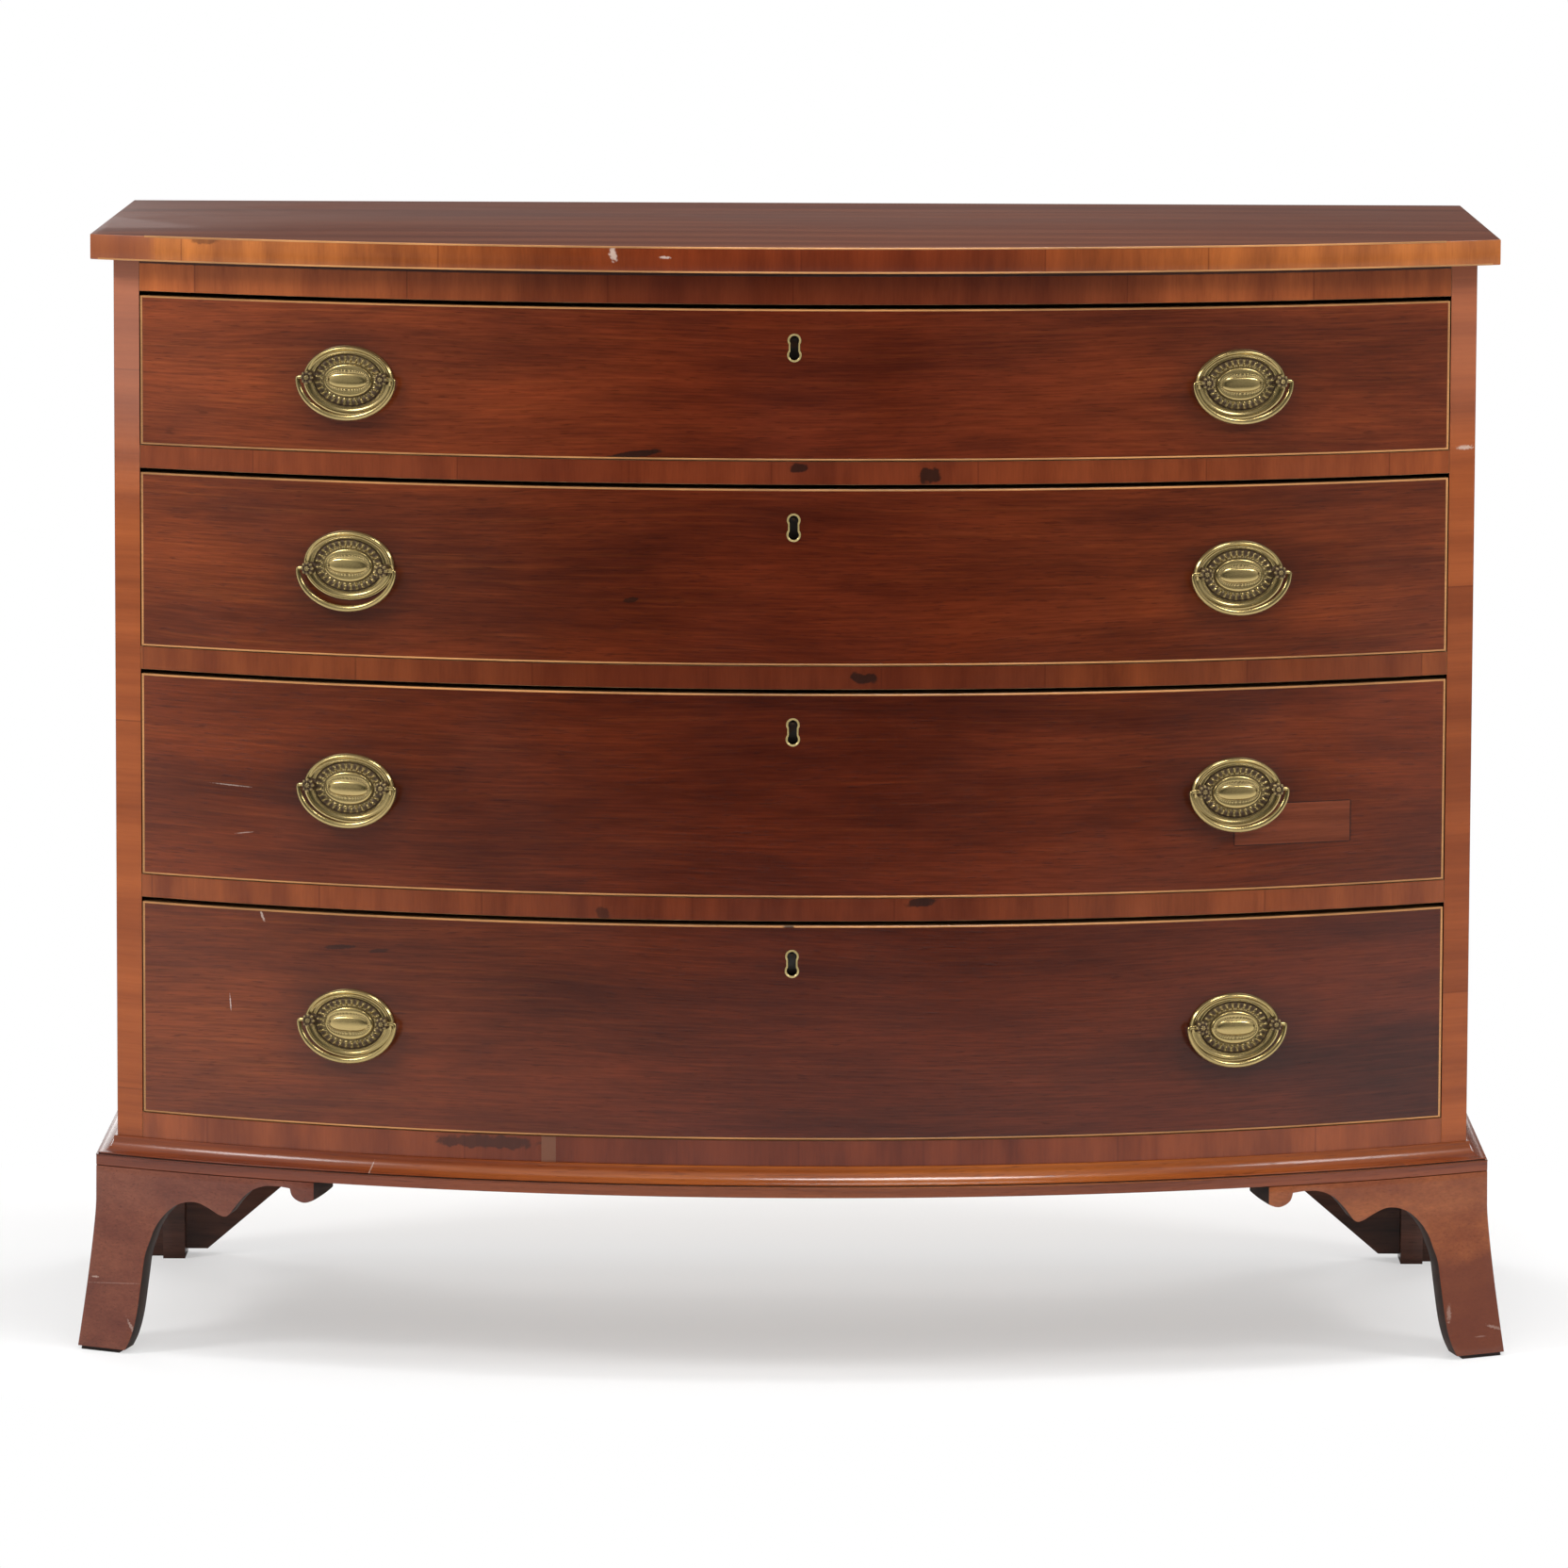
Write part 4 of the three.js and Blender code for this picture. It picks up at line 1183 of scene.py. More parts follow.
def buildMoulding():
    section = mouldingSection()
    stations = moulding["stations"]
    rings = [[(caseHalf + offset, backY, footTop + z) for offset, z in section]]
    for i in range(stations + 1):
        along = 1 - 2 * i / stations
        ring = []
        for offset, z in section:
            x = along * (caseHalf + offset)
            ring.append((x, arcY(frontRadius + offset, x), footTop + z))
        rings.append(ring)
    rings.append([(-caseHalf - offset, backY, footTop + z) for offset, z in section])
    piece = loftRings("base_moulding_run", rings, smoothAngle=40)
    dress(piece, "case", "base_mahogany", mouldingMaterial, "base_moulding")
    piece.data.materials.append(fasciaMaterial)
    piece.data.materials.append(soiledAndShadedMaterial)
    # The groove's faces take the near-black finish as painted shade in the crease; the flat below takes the
    # fascia finish
    grooveZ = footTop + moulding["fascia"] + moulding["bead"] + moulding["groove"] / 2
    for face in piece.data.polygons:
        if abs(face.center.z - grooveZ) < moulding["groove"] and abs(face.normal.z) < 0.9:
            face.material_index = 2
        elif face.center.z < footTop + moulding["fascia"]:
            face.material_index = 1


buildMoulding()


# Bracket feet

foot = {
    "projection": 0.016,
    "flare": 0.0135,
    "taper": 0.0012,
    "flareHeight": 0.115,
    "flarePower": 1.25,
    "inset": 0.0065,
    "bracketLength": 0.187,
    "cant": 0.014,
    "levels": 26,
    "arcSteps": 22,
    "edge": 0.0007,
    "glideHeight": 0.003,
    "glideLap": 0.0015,
    "glideInset": 0.003,
    "glideCut": 0.0036,
    "facesAway": 0.4,
    "facesBack": 0.3,
    "cutSpare": 0.03,
    "cutSkew": 0.4,
    "sideCut": (0.5, 0.7),
    "cutBelow": 0.02,
    "cutAbove": 0.01,
    "thickPart": 0.02,
    "rearThickness": 0.02,
    "rearLength": 0.22,
    "rearFoot": 0.058,
    "rearClear": 0.0054,
    "rearBlock": 0.018,
    "backSpare": 0.004,
}

# The lower edge of a bracket, as shares of its length from the corner and of the foot's height
edgeShares = [
    [(0.135, 0), (0.166, 0.09), (0.187, 0.21), (0.203, 0.4), (0.214, 0.53), (0.233, 0.61), (0.252, 0.68),
     (0.284, 0.748), (0.33, 0.808), (0.38, 0.84), (0.43, 0.845), (0.475, 0.824), (0.52, 0.792)],
    [(0.52, 0.792), (0.535, 0.784), (0.55, 0.781), (0.563, 0.787), (0.575, 0.803)],
    [(0.575, 0.803), (0.61, 0.865), (0.655, 0.925), (0.71, 0.96), (0.77, 0.967), (0.825, 0.96)],
    [(0.825, 0.96), (0.835, 0.92), (0.862, 0.894), (0.895, 0.889), (0.94, 0.915), (0.98, 0.955), (1, 1)],
]


def footOffset(z):
    low = max(0, (foot["flareHeight"] - z) / foot["flareHeight"])
    return foot["projection"] + foot["taper"] * (1 - z / footTop) + foot["flare"] * low ** foot["flarePower"]


def bracketEdge(place):
    outline = []
    for stretch in edgeShares:
        points = spline([(along, up, 0) for along, up in stretch], 5)
        outline += points if not outline else points[1:]
    below, above, length = -foot["cutBelow"], footTop + foot["cutAbove"], foot["bracketLength"]
    past = place(length + foot["cutBelow"])
    edge = [(place(outline[0].x * length), below)]
    edge += [(place(point.x * length), point.y * footTop) for point in outline[:-1]]
    return edge + [(place(length), above), (past, above), (past, below)]


def levelsOfFoot(fromZ):
    top = footTop - foot["edge"] / 3
    return [fromZ + (top - fromZ) * i / foot["levels"] for i in range(foot["levels"] + 1)]


# The space under a front bracket, sawn part of the way from straight back to square to the bow
def underFrontBracket(inset):
    faceRadius = frontRadius + foot["projection"]
    cornerX = caseHalf + foot["projection"] + inset
    outline = bracketEdge(lambda along: cornerX - along)
    rings = []
    for reach in (-foot["cutSpare"] - foot["projection"], foot["cutSpare"]):
        ring = []
        for x, z in outline:
            turn = math.asin(x / faceRadius)
            across = x + reach * math.sin(turn) * foot["cutSkew"]
            ring.append((across, arcCentreY - (faceRadius + reach) * math.cos(turn), z))
        rings.append(ring)
    return loftRings("under front", rings)


def frontFootRings(levels, shrink=0.0):
    endX = caseHalf + foot["projection"] - foot["bracketLength"]
    sideEndY = arcY(frontRadius + foot["projection"], caseHalf + foot["projection"]) + foot["bracketLength"]
    steps = foot["arcSteps"]
    rings = []
    for z in levels:
        offset = footOffset(z) - shrink
        outerHalf = caseHalf + offset
        thickness = foot["projection"] + foot["inset"]
        innerHalf, innerArc = outerHalf - thickness, frontRadius + offset - thickness
        ring = [(outerHalf, sideEndY, z), (innerHalf, sideEndY, z)]
        for i in range(steps + 1):
            x = innerHalf + (endX - innerHalf) * i / steps
            ring.append((x, arcY(innerArc, x), z))
        for i in range(steps + 1):
            x = endX + foot["cant"] + (outerHalf - endX - foot["cant"]) * i / steps
            ring.append((x, arcY(frontRadius + offset, x), z))
        rings.append(ring)
    return rings, sideEndY


# The sawn edges of a front foot face the middle of the chest, the back or the floor
def isCutFace(face, side):
    outward = Vector((face.center.x, face.center.y - arcCentreY, 0)).normalized()
    away, back = foot["facesAway"], foot["facesBack"]
    if face.normal.z >= away:
        return False
    towardsMiddle = face.normal.x * side < away and abs(face.normal.dot(outward)) < away
    towardsBack = abs(face.normal.x) < back and face.normal.y > -back
    return towardsMiddle or towardsBack and face.center.x * side >= caseHalf - foot["thickPart"]


def buildFrontFeet():
    pieces = []
    glideTop = foot["glideHeight"] + foot["glideLap"]
    for label, levels, shrink, inset in (
        ("bracket", levelsOfFoot(foot["glideHeight"]), 0.0, 0.0),
        ("glide", [0.0, glideTop], foot["glideInset"], foot["glideCut"]),
    ):
        rings, sideEndY = frontFootRings(levels, shrink)
        piece = loftRings(f"front_foot_{label}", rings)
        edge = bracketEdge(lambda along: sideEndY - foot["bracketLength"] + along - inset)
        cutAway(piece, [underFrontBracket(inset), prismAlongX("under side", edge, *foot["sideCut"])])
        pieces.append(piece)
    bracket, glide = pieces
    roundEdges(bracket, foot["edge"])
    applyModifiers(bracket)
    softenShading(bracket)
    for label, piece in (("bracket", bracket), ("glide", glide)):
        left = mirrorX(piece, f"front_foot_left_{label}")
        piece.name = f"front_foot_right_{label}"
        for hand, obj in (("right", piece), ("left", left)):
            replaced = [f"front_foot_{hand}"] if label == "bracket" else []
            dress(obj, "case", "base_mahogany", footMaterials[hand], *replaced)
            obj.data.materials.append(soiledAndShadedMaterial)
            # The sawn edges and the glide take the near-black finish: dirt with painted shade
            for face in obj.data.polygons:
                if label == "glide" or isCutFace(face, hands[hand]):
                    face.material_index = 1


def buildRearFeet():
    innerHalf = caseHalf - foot["inset"]
    sideEndY = backY - foot["bracketLength"]
    backInnerY = backY - foot["rearThickness"]
    endX = caseHalf + foot["projection"] - foot["rearLength"]
    blockX, blockY = innerHalf - foot["rearBlock"], backInnerY - foot["rearBlock"]
    rings = []
    for z in levelsOfFoot(0.0):
        outerHalf = caseHalf + footOffset(z)
        ring = [
            (outerHalf, backY), (endX, backY), (endX, backInnerY), (blockX, backInnerY), (blockX, blockY),
            (innerHalf, blockY), (innerHalf, sideEndY), (outerHalf, sideEndY),
        ]
        rings.append([(x, y, z) for x, y in ring])
    piece = loftRings("rear_foot_right_bracket", rings)
    slopeFoot, clear = caseHalf + foot["projection"] - foot["rearFoot"], foot["rearClear"]
    past, below = endX - foot["cutAbove"], -foot["cutAbove"]
    slope = [
        (past, below), (blockX, below), (blockX, clear), (slopeFoot, clear), (endX, footTop), (past, footTop),
    ]
    side = prismAlongX("under side", bracketEdge(lambda along: backY - along), *foot["sideCut"])
    floorZ, roofZ = -foot["cutSpare"], footTop + foot["cutSpare"]
    block = [(blockY, floorZ), (backY, floorZ), (backY, roofZ), (blockY, roofZ)]
    cutAway(side, [prismAlongX("kept block", block, foot["sideCut"][0] - foot["cutSpare"], innerHalf)])
    back = prismAlongY("under back", slope, backInnerY - foot["backSpare"], backY + foot["cutAbove"])
    cutAway(piece, [side, back])
    roundEdges(piece, foot["edge"])
    applyModifiers(piece)
    softenShading(piece)
    left = mirrorX(piece, "rear_foot_left_bracket")
    dress(piece, "case", "base_mahogany", footMaterials["rear"], "rear_foot_right")
    dress(left, "case", "base_mahogany", footMaterials["rear"], "rear_foot_left")


buildFrontFeet()
buildRearFeet()
print("base and feet built")


# Keyholes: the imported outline, taken in by a wall of brass

keyhole = {
    "drop": 0.029,
    "height": 0.0217,
    "headRadius": 0.0052,
    "footRadius": 0.0055,
    "waist": 0.0086,
    "waistInset": 0.8,
    "sheetLap": 0.0003,
    "cutReach": (-0.01, 0.03),
    "arcSteps": 20,
}

# Sections of the brass liner and the near-black sleeve behind it, painted shade deep in the keyhole with some
# dirt: inset, and depth from the face
linerSection = [
    (0.0, 0.0), (0.0001, -0.00025), (0.00045, -0.0004), (0.001125, -0.0004),
    (0.0015, -0.0001), (0.0015, 0.006), (0.0003, 0.006),
]
sleeveSection = [(0.00075, 0.004), (0.0017, 0.004), (0.0017, 0.0215), (0.00075, 0.0215)]


def keyholeOutline(inset):
    headRadius, footRadius = keyhole["headRadius"] - inset, keyhole["footRadius"] - inset
    headZ = keyhole["height"] / 2 - keyhole["headRadius"]
    footZ = keyhole["footRadius"] - keyhole["height"] / 2
    waist = keyhole["waist"] / 2 - inset * keyhole["waistInset"]
    headTurn, footTurn = math.asin(waist / headRadius), math.asin(waist / footRadius)
    steps = keyhole["arcSteps"]
    outline = []
    for radius, middle, start, sweep in (
        (headRadius, headZ, -math.pi / 2 + headTurn, 2 * math.pi - 2 * headTurn),
        (footRadius, footZ, math.pi / 2 + footTurn, 2 * math.pi - 2 * footTurn),
    ):
        for i in range(steps + 1):
            angle = start + sweep * i / steps
            outline.append((radius * math.cos(angle), middle + radius * math.sin(angle)))
    return outline


def ringAlongY(name, centreZ, faceY, section):
    rings = []
    for inset, depth in section:
        rings.append([(x, faceY + depth, centreZ + z) for x, z in keyholeOutline(inset)])
    return loftRings(name, rings, closed=True)


# Drawer fronts: a mahogany sheet and a light string round its edge on each packed front

front = {
    "depth": 0.0006,
    "proud": 0.0004,
    "rounding": 0.0001,
    "underString": 0.0002,
    "lap": 0.0001,
    "string": 0.0015,
    "stringDepth": 0.0018,
    "stringProud": 0.0005,
    "stringRounding": 0.00045,
    "columns": 150,
}
patch = {
    "drawer": 3,
    "fromX": 0.3378,
    "toX": 0.4274,
    "fromZ": 0.4068,
    "toZ": 0.4378,
    "proud": 0.00005,
    "columns": 12,
}


def stringSection(fromZ, toZ):
    return sheetSection(
        drawerRadius, front["stringDepth"], front["stringProud"], fromZ, toZ, front["stringRounding"]
    )


def buildDrawerFront(number):
    body = f"drawer_{number}"
    low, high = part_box(f"{body}_front")
    half, width, lap, columns = high.x, front["string"], front["lap"], front["columns"]
    fromZ, toZ = low.z + width - front["underString"], high.z - width + front["underString"]
    section = sheetSection(drawerRadius, front["depth"], front["proud"], fromZ, toZ, front["rounding"])
    sheet = sweepBow(f"{body}_veneer", section, -half + width, half - width, columns)
    keyZ, faceY = high.z - keyhole["drop"], arcY(drawerRadius, 0)
    outline = [(x, keyZ + z) for x, z in keyholeOutline(keyhole["sheetLap"])]
    fromY, toY = [faceY + reach for reach in keyhole["cutReach"]]
    cutAway(sheet, [prismAlongY("keyhole cutter", outline, fromY, toY)])
    dress(sheet, body, "front_mahogany", frontMaterials[number])

    strings = []
    for fromZ, toZ in ((low.z - lap, low.z + width), (high.z - width, high.z + lap)):
        strings.append(sweepBow("string", stringSection(fromZ, toZ), -half + width, half - width, columns))
    for side in hands.values():
        ends = (side * (half - width), side * (half + lap))
        strings.append(sweepBow("string", stringSection(low.z - lap, high.z + lap), min(ends), max(ends), 3))
    dress(joinObjects(f"{body}_strings", strings), body, "front_mahogany", stringMaterial)

    sheetY = faceY - front["proud"]
    liner = ringAlongY(f"{body}_keyhole_liner", keyZ, sheetY, linerSection)
    dress(liner, body, "antique_brass", linerBrass)
    sleeve = ringAlongY(f"{body}_keyhole_shade_sleeve", keyZ, sheetY, sleeveSection)
    dress(sleeve, body, "lock_iron", keyholeShade)


def buildPatch():
    proud = front["proud"] + patch["proud"]
    section = sheetSection(drawerRadius, 0, proud, patch["fromZ"], patch["toZ"], front["rounding"])
    sheet = sweepBow("let_in_patch", section, patch["fromX"], patch["toX"], patch["columns"])
    dress(sheet, f"drawer_{patch['drawer']}", "front_mahogany", patchMaterial)


for number in drawerNumbers:
    buildDrawerFront(number)
buildPatch()
print("drawer fronts veneered")


# Pulls: a stamped oval plate, two posts with flower heads, and a bail

pull = {
    "postHalf": 0.030,
    "plateBelow": 0.002,
    "raised": (2, "left"),
    "raisedLift": 0.0047,
    "plateGap": 0.0003,
    "steps": 392,
    "postSteps": 64,
    "shankSteps": 24,
    "gadroons": 28,
    "beads": 44,
    "moatBeads": 56,
    "bailHeight": 0.007,
    "tilt": {(1, "left"): 0.8, (1, "right"): -0.6, (2, "left"): 0.6, (3, "left"): 1.0, (4, "right"): 1.2},
}

# Rings of the plate from its edge in: half width, half height, height of the face and hollow tone
plateRings = [
    (36.8, 26.4, 0.0, 0.5), (36.95, 26.6, 0.5, 0.35), (36.9, 26.5, 1.0, 0.15), (36.5, 26.1, 1.4, 0.05),
    (35.9, 25.5, 1.75, 0.05), (35.2, 24.9, 2.05, 0.05), (34.5, 24.2, 2.2, 0.1), (33.8, 23.6, 2.2, 0.15),
    (33.1, 23.0, 2.05, 0.25), (32.4, 22.5, 1.8, 0.35), (31.4, 21.9, 1.5, 0.4), (30.4, 21.3, 1.5, 0.35),
    (29.8, 21.0, 1.8, 0.15), (29.4, 20.8, 2.2, 0.0), (29.0, 20.5, 2.2, 0.0), (28.7, 20.3, 1.9, 0.3),
    (28.3, 19.95, 1.2, 0.85), (27.8, 19.55, 1.1, 0.95), (27.4, 19.2, 1.4, 0.85), (26.9, 18.8, 1.8, 0.85),
    (26.1, 18.1, 2.0, 0.85), (25.1, 17.2, 2.0, 0.9), (24.1, 16.3, 1.9, 0.9), (23.2, 15.5, 1.6, 0.8),
    (22.4, 14.8, 1.2, 0.65), (21.5, 14.0, 0.9, 0.6), (20.7, 13.35, 0.9, 0.65), (20.2, 12.95, 1.0, 0.8),
    (19.9, 12.7, 1.7, 0.6), (19.6, 12.45, 2.6, 0.2), (19.2, 12.1, 3.1, 0.0), (18.7, 11.3, 3.4, 0.0),
    (18.1, 10.2, 3.55, 0.05), (17.6, 9.1, 3.5, 0.15), (17.2, 8.2, 3.35, 0.35), (16.9, 7.7, 3.3, 0.5),
    (16.6, 7.3, 3.3, 0.55), (16.35, 6.95, 3.3, 0.55), (16.1, 6.6, 3.3, 0.55), (15.85, 6.25, 3.4, 0.5),
    (15.5, 5.9, 3.7, 0.25), (15.0, 5.5, 4.2, 0.1), (14.1, 5.0, 4.65, 0.0), (12.4, 4.3, 5.0, 0.0),
    (9.8, 3.4, 5.2, 0.0), (6.4, 2.2, 5.35, 0.0), (3.0, 1.0, 5.4, 0.0),
]

# Relief on the plate: from which half width to which, and how high
relief = {
    "rim": (33.0, 36.7, 1.6),
    "rimRise": (0.6, 5),
    "rimFullness": 0.7,
    "rimShine": 2,
    "gadroons": (21.6, 27.5, 1.5),
    "gadroonRise": 1.6,
    "beads": (16.0, 17.1, 0.45),
    "moatBeads": (20.6, 22.0, 0.5),
    "gadroonMiddle": (24, 17),
    "gadroonWidth": 0.19,
    "gadroonShine": 0.8,
    "beadWidth": 0.4,
    "beadShine": 0.45,
    "bossFullness": 0.22,
    "bossReach": 19.5,
    "bossBlend": 2.5,
}


def reliefShare(a, label):
    inner, outer, _ = relief[label]
    if not inner < a < outer:
        return 0
    return math.sin(math.pi * (a - inner) / (outer - inner))


def plateHeight(ring, angle, arcShare):
    a, _, height, hollow = ring
    start, slope = relief["rimRise"]
    upper = min(1, max(0, start + math.sin(angle) * slope))
    rim = reliefShare(a, "rim") ** relief["rimFullness"] * upper
    height += relief["rim"][2] * rim
    hollow *= 1 - min(1, rim * relief["rimShine"])
    phase = arcShare * pull["gadroons"] % 1 - 0.5
    swell = min(1, reliefShare(a, "gadroons") * relief["gadroonRise"])
    bar = math.exp(-(phase / relief["gadroonWidth"]) ** 2) * swell
    height += relief["gadroons"][2] * bar
    hollow -= relief["gadroonShine"] * bar
    for label, count in (("beads", pull["beads"]), ("moatBeads", pull["moatBeads"])):
        swell = reliefShare(a, label)
        phase = arcShare * count % 1 - 0.5
        bead = math.sqrt(max(0, 1 - (phase / relief["beadWidth"]) ** 2)) * swell
        height += relief[label][2] * bead
        hollow -= relief["beadShine"] * bead
    return height, min(1, max(0, hollow))


# A point of a ring: the inner rings, round the boss, have fuller ends than an ellipse
def ringPoint(ring, angle, height):
    onBoss = min(1, max(0, (relief["bossReach"] - ring[0]) / relief["bossBlend"]))
    fullness = 1 - relief["bossFullness"] * onBoss
    across, up = math.cos(angle), math.sin(angle)
    x = math.copysign(abs(across) ** fullness, across) * ring[0]
    z = math.copysign(abs(up) ** fullness, up) * ring[1]
    return x * mm, -height * mm, z * mm


def setHollow(obj, values):
    layer = obj.data.attributes.new("hollow", "FLOAT", "POINT")
    layer.data.foreach_set("value", values)


def buildPlate():
    steps = pull["steps"]
    across, up = relief["gadroonMiddle"]
    shares = [0.0]
    for i in range(steps):
        first, second = [2 * math.pi * k / steps for k in (i, i + 1)]
        start, end = [(across * math.cos(turn), up * math.sin(turn)) for turn in (first, second)]
        shares.append(shares[-1] + math.dist(start, end))
    points, hollows = [], []
    for ring in plateRings:
        for i in range(steps):
            angle = 2 * math.pi * i / steps
            height, hollow = plateHeight(ring, angle, shares[i] / shares[-1])
            points.append(ringPoint(ring, angle, height))
            hollows.append(hollow)
    rows = len(plateRings)
    faces = ringFaces(rows, steps, rows - 1)
    last = (rows - 1) * steps
    points.append((0, -plateRings[-1][2] * mm, 0))
    hollows.append(0)
    for i in range(steps):
        faces.append((last + i, last + (i + 1) % steps, len(points) - 1))
    faces.append(tuple(reversed(range(steps))))
    plate = makeObject("plate", points, faces, turnedAngle)
    setHollow(plate, hollows)
    return plate


# The flower on the face of a post: its petals begin above a height and end around its middle
flower = {"petals": 8, "depth": 0.16, "drop": 0.352, "above": 10.0, "middle": 1, "shade": 0.5}


# A turned profile of (radius, height out from the drawer, hollow) around -Y
def buildTurning(name, profile, steps, petals=0):
    rings, hollows = [], []
    for radius, height, hollow in profile:
        ring = []
        for i in range(steps):
            angle = 2 * math.pi * i / steps
            valley = 0.5 - 0.5 * math.cos(petals * angle)
            dip = valley if height > flower["above"] else 0
            reach = radius * (1 - flower["depth"] * dip) * mm
            drop = flower["drop"] * dip if radius > flower["middle"] else 0
            ring.append((reach * math.cos(angle), (drop - height) * mm, reach * math.sin(angle)))
            hollows.append(min(1, hollow + valley * flower["shade"]))
        rings.append(ring)
    turning = loftRings(name, rings, smoothAngle=turnedAngle)
    setHollow(turning, hollows)
    return turning


postProfile = [
    (2.2, 1.0, 0.6), (4.6, 1.0, 0.7), (4.7, 1.8, 0.7), (4.4, 2.4, 0.7), (3.4, 3.0, 0.9), (3.1, 4.4, 0.9),
    (3.2, 9.2, 0.8), (3.9, 9.8, 0.8), (4.9, 10.1, 0.7), (5.3, 10.6, 0.55), (5.35, 11.2, 0.45),
    (5.0, 11.9, 0.4), (4.3, 12.4, 0.4), (3.5, 12.6, 0.55), (2.9, 12.3, 1.0), (2.5, 12.2, 1.0),
    (2.2, 12.6, 0.7), (1.9, 13.1, 0.35), (1.3, 13.5, 0.25), (0.6, 13.65, 0.25),
]
shankProfile = [(2.15, -30.0, 0.4), (2.2, -29.6, 0.4), (2.2, 1.5, 0.4), (2.0, 1.6, 0.4)]
nut = {
    "half": 5.2,
    "depth": 22.1,
    "section": [(0.0, 0.4), (0.4, 0.0), (2.7, 0.0), (3.2, 0.5)],
    "hollow": 0.5,
}


def buildPost(side):
    head = buildTurning("post head", postProfile, pull["postSteps"], flower["petals"])
    shank = buildTurning("shank", shankProfile, pull["shankSteps"])
    rings = []
    for depth, inset in nut["section"]:
        edge = (nut["half"] - inset) * mm
        y = (nut["depth"] + depth) * mm
        rings.append([(edge, y, edge), (-edge, y, edge), (-edge, y, -edge), (edge, y, -edge)])
    square = loftRings("nut", rings)
    setHollow(square, [nut["hollow"]] * len(square.data.vertices))
    post = joinObjects("post", [head, shank, square], turnedAngle)
    post.data.transform(Matrix.Translation((side * pull["postHalf"], 0, 0)))
    return post


bail = {
    "endX": 0.0318,
    "cornerX": 0.0392,
    "drop": 0.0301,
    "corner": [(0.965, 0.0), (0.995, -0.0004), (1.0, -0.0016)],
    "arcStart": 0.0026,
    "thin": 0.0016,
    "thick": 0.00245,
    "fullness": 0.8,
    "hollow": (0.25, 0.35),
    "sides": 18,
    "stretch": 32,
}


# The bail's centre line: out of one post, down round the plate, and in to the other
def buildBail():
    corner, drop = bail["cornerX"], bail["drop"]
    half = [(bail["endX"], 0.0)] + [(corner * share, z) for share, z in bail["corner"]]
    for i in range(1, bail["stretch"] + 1):
        angle = math.pi / 2 * i / bail["stretch"]
        if drop * math.sin(angle) > bail["arcStart"]:
            half.append((corner * math.cos(angle), -drop * math.sin(angle)))
    line = half[:-1] + [(-x, z) for x, z in reversed(half)]
    rings, hollows = [], []
    sides, (tone, shade) = bail["sides"], bail["hollow"]
    for i, (x, z) in enumerate(line):
        before, after = line[max(i - 1, 0)], line[min(i + 1, len(line) - 1)]
        along = Vector((after[0] - before[0], 0, after[1] - before[1])).normalized()
        across = Vector((along.z, 0, -along.x))
        share = min(1, max(0, -z / drop)) ** bail["fullness"]
        radius = bail["thin"] + (bail["thick"] - bail["thin"]) * share
        ring = []
        for k in range(sides):
            turn = 2 * math.pi * k / sides
            spoke = across * math.cos(turn) + Vector((0, math.sin(turn), 0))
            ring.append(Vector((x, 0, z)) + spoke * radius)
            hollows.append(tone + shade * max(0, math.sin(turn)))
        rings.append(ring)
    piece = loftRings("bail", rings, smoothAngle=turnedAngle)
    setHollow(piece, hollows)
    return piece


def buildPulls():
    plate, posts, ring = buildPlate(), [buildPost(-1), buildPost(1)], buildBail()
    for number in drawerNumbers:
        low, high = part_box(f"drawer_{number}_front")
        middle = (low.z + high.z) / 2
        for hand, side in hands.items():
            turn = side * math.asin((high.x - pullInset) / drawerRadius)
            radius = drawerRadius + pull["plateGap"]
            origin = Vector((radius * math.sin(turn), arcCentreY - radius * math.cos(turn), middle))
            place = Matrix.Translation(origin) @ Matrix.Rotation(turn, 4, "Z")
            lift = pull["raisedLift"] if (number, hand) == pull["raised"] else 0
            tilt = Matrix.Rotation(math.radians(pull["tilt"].get((number, hand), 0)), 4, "Y")
            plateMesh = plate.data.copy()
            plateMesh.transform(Matrix.Translation((0, 0, lift - pull["plateBelow"])) @ tilt)
            meshes = [plateMesh] + [post.data for post in posts]
            whole = joinMeshes(f"pull_{number}_{hand}", meshes, turnedAngle)
            whole.data.transform(place)
            dress(whole, f"drawer_{number}", "antique_brass", brass, f"pull_plate_{number}_{hand}")
            bpy.data.meshes.remove(plateMesh)
            hanging = joinMeshes(f"pull_bail_{number}_{hand}", [ring.data], turnedAngle)
            hanging.data.transform(place @ Matrix.Translation((0, -pull["bailHeight"], 0)))
            dress(hanging, f"bail_{number}_{hand}", "antique_brass", brass, f"bail_{number}_{hand}")
    for spare in (plate, *posts, ring):
        bpy.data.objects.remove(spare)


buildPulls()
print("pulls built")


# Nails of the back boards and screws of the locks

heads = {
    "nailRadius": 0.0023,
    "nailInset": 0.007,
    "nailsPerBoard": 4,
    "screwRadius": 0.0031,
    "screwInset": (0.0065, 0.007),
    "screwSlot": 0.0007,
    "slotLength": 1.2,
    "slotDepth": 0.002,
    "slotTurns": (20, 75, -35, 50),
    "lockHeight": 0.042,
    "proud": 0.0005,
    "steps": 20,
}
headProfile = [(1.0, -2.0), (1.0, 0.3), (0.92, 0.65), (0.72, 0.88), (0.4, 1.0)]


def buildHead(radius, x, y, z):
    rings = []
    for share, up in headProfile:
        ring = []
        for i in range(heads["steps"]):
            turn = 2 * math.pi * i / heads["steps"]
            reach = radius * share
            ring.append((x + reach * math.cos(turn), y + heads["proud"] * up, z + reach * math.sin(turn)))
        rings.append(ring)
    return loftRings("head", rings)


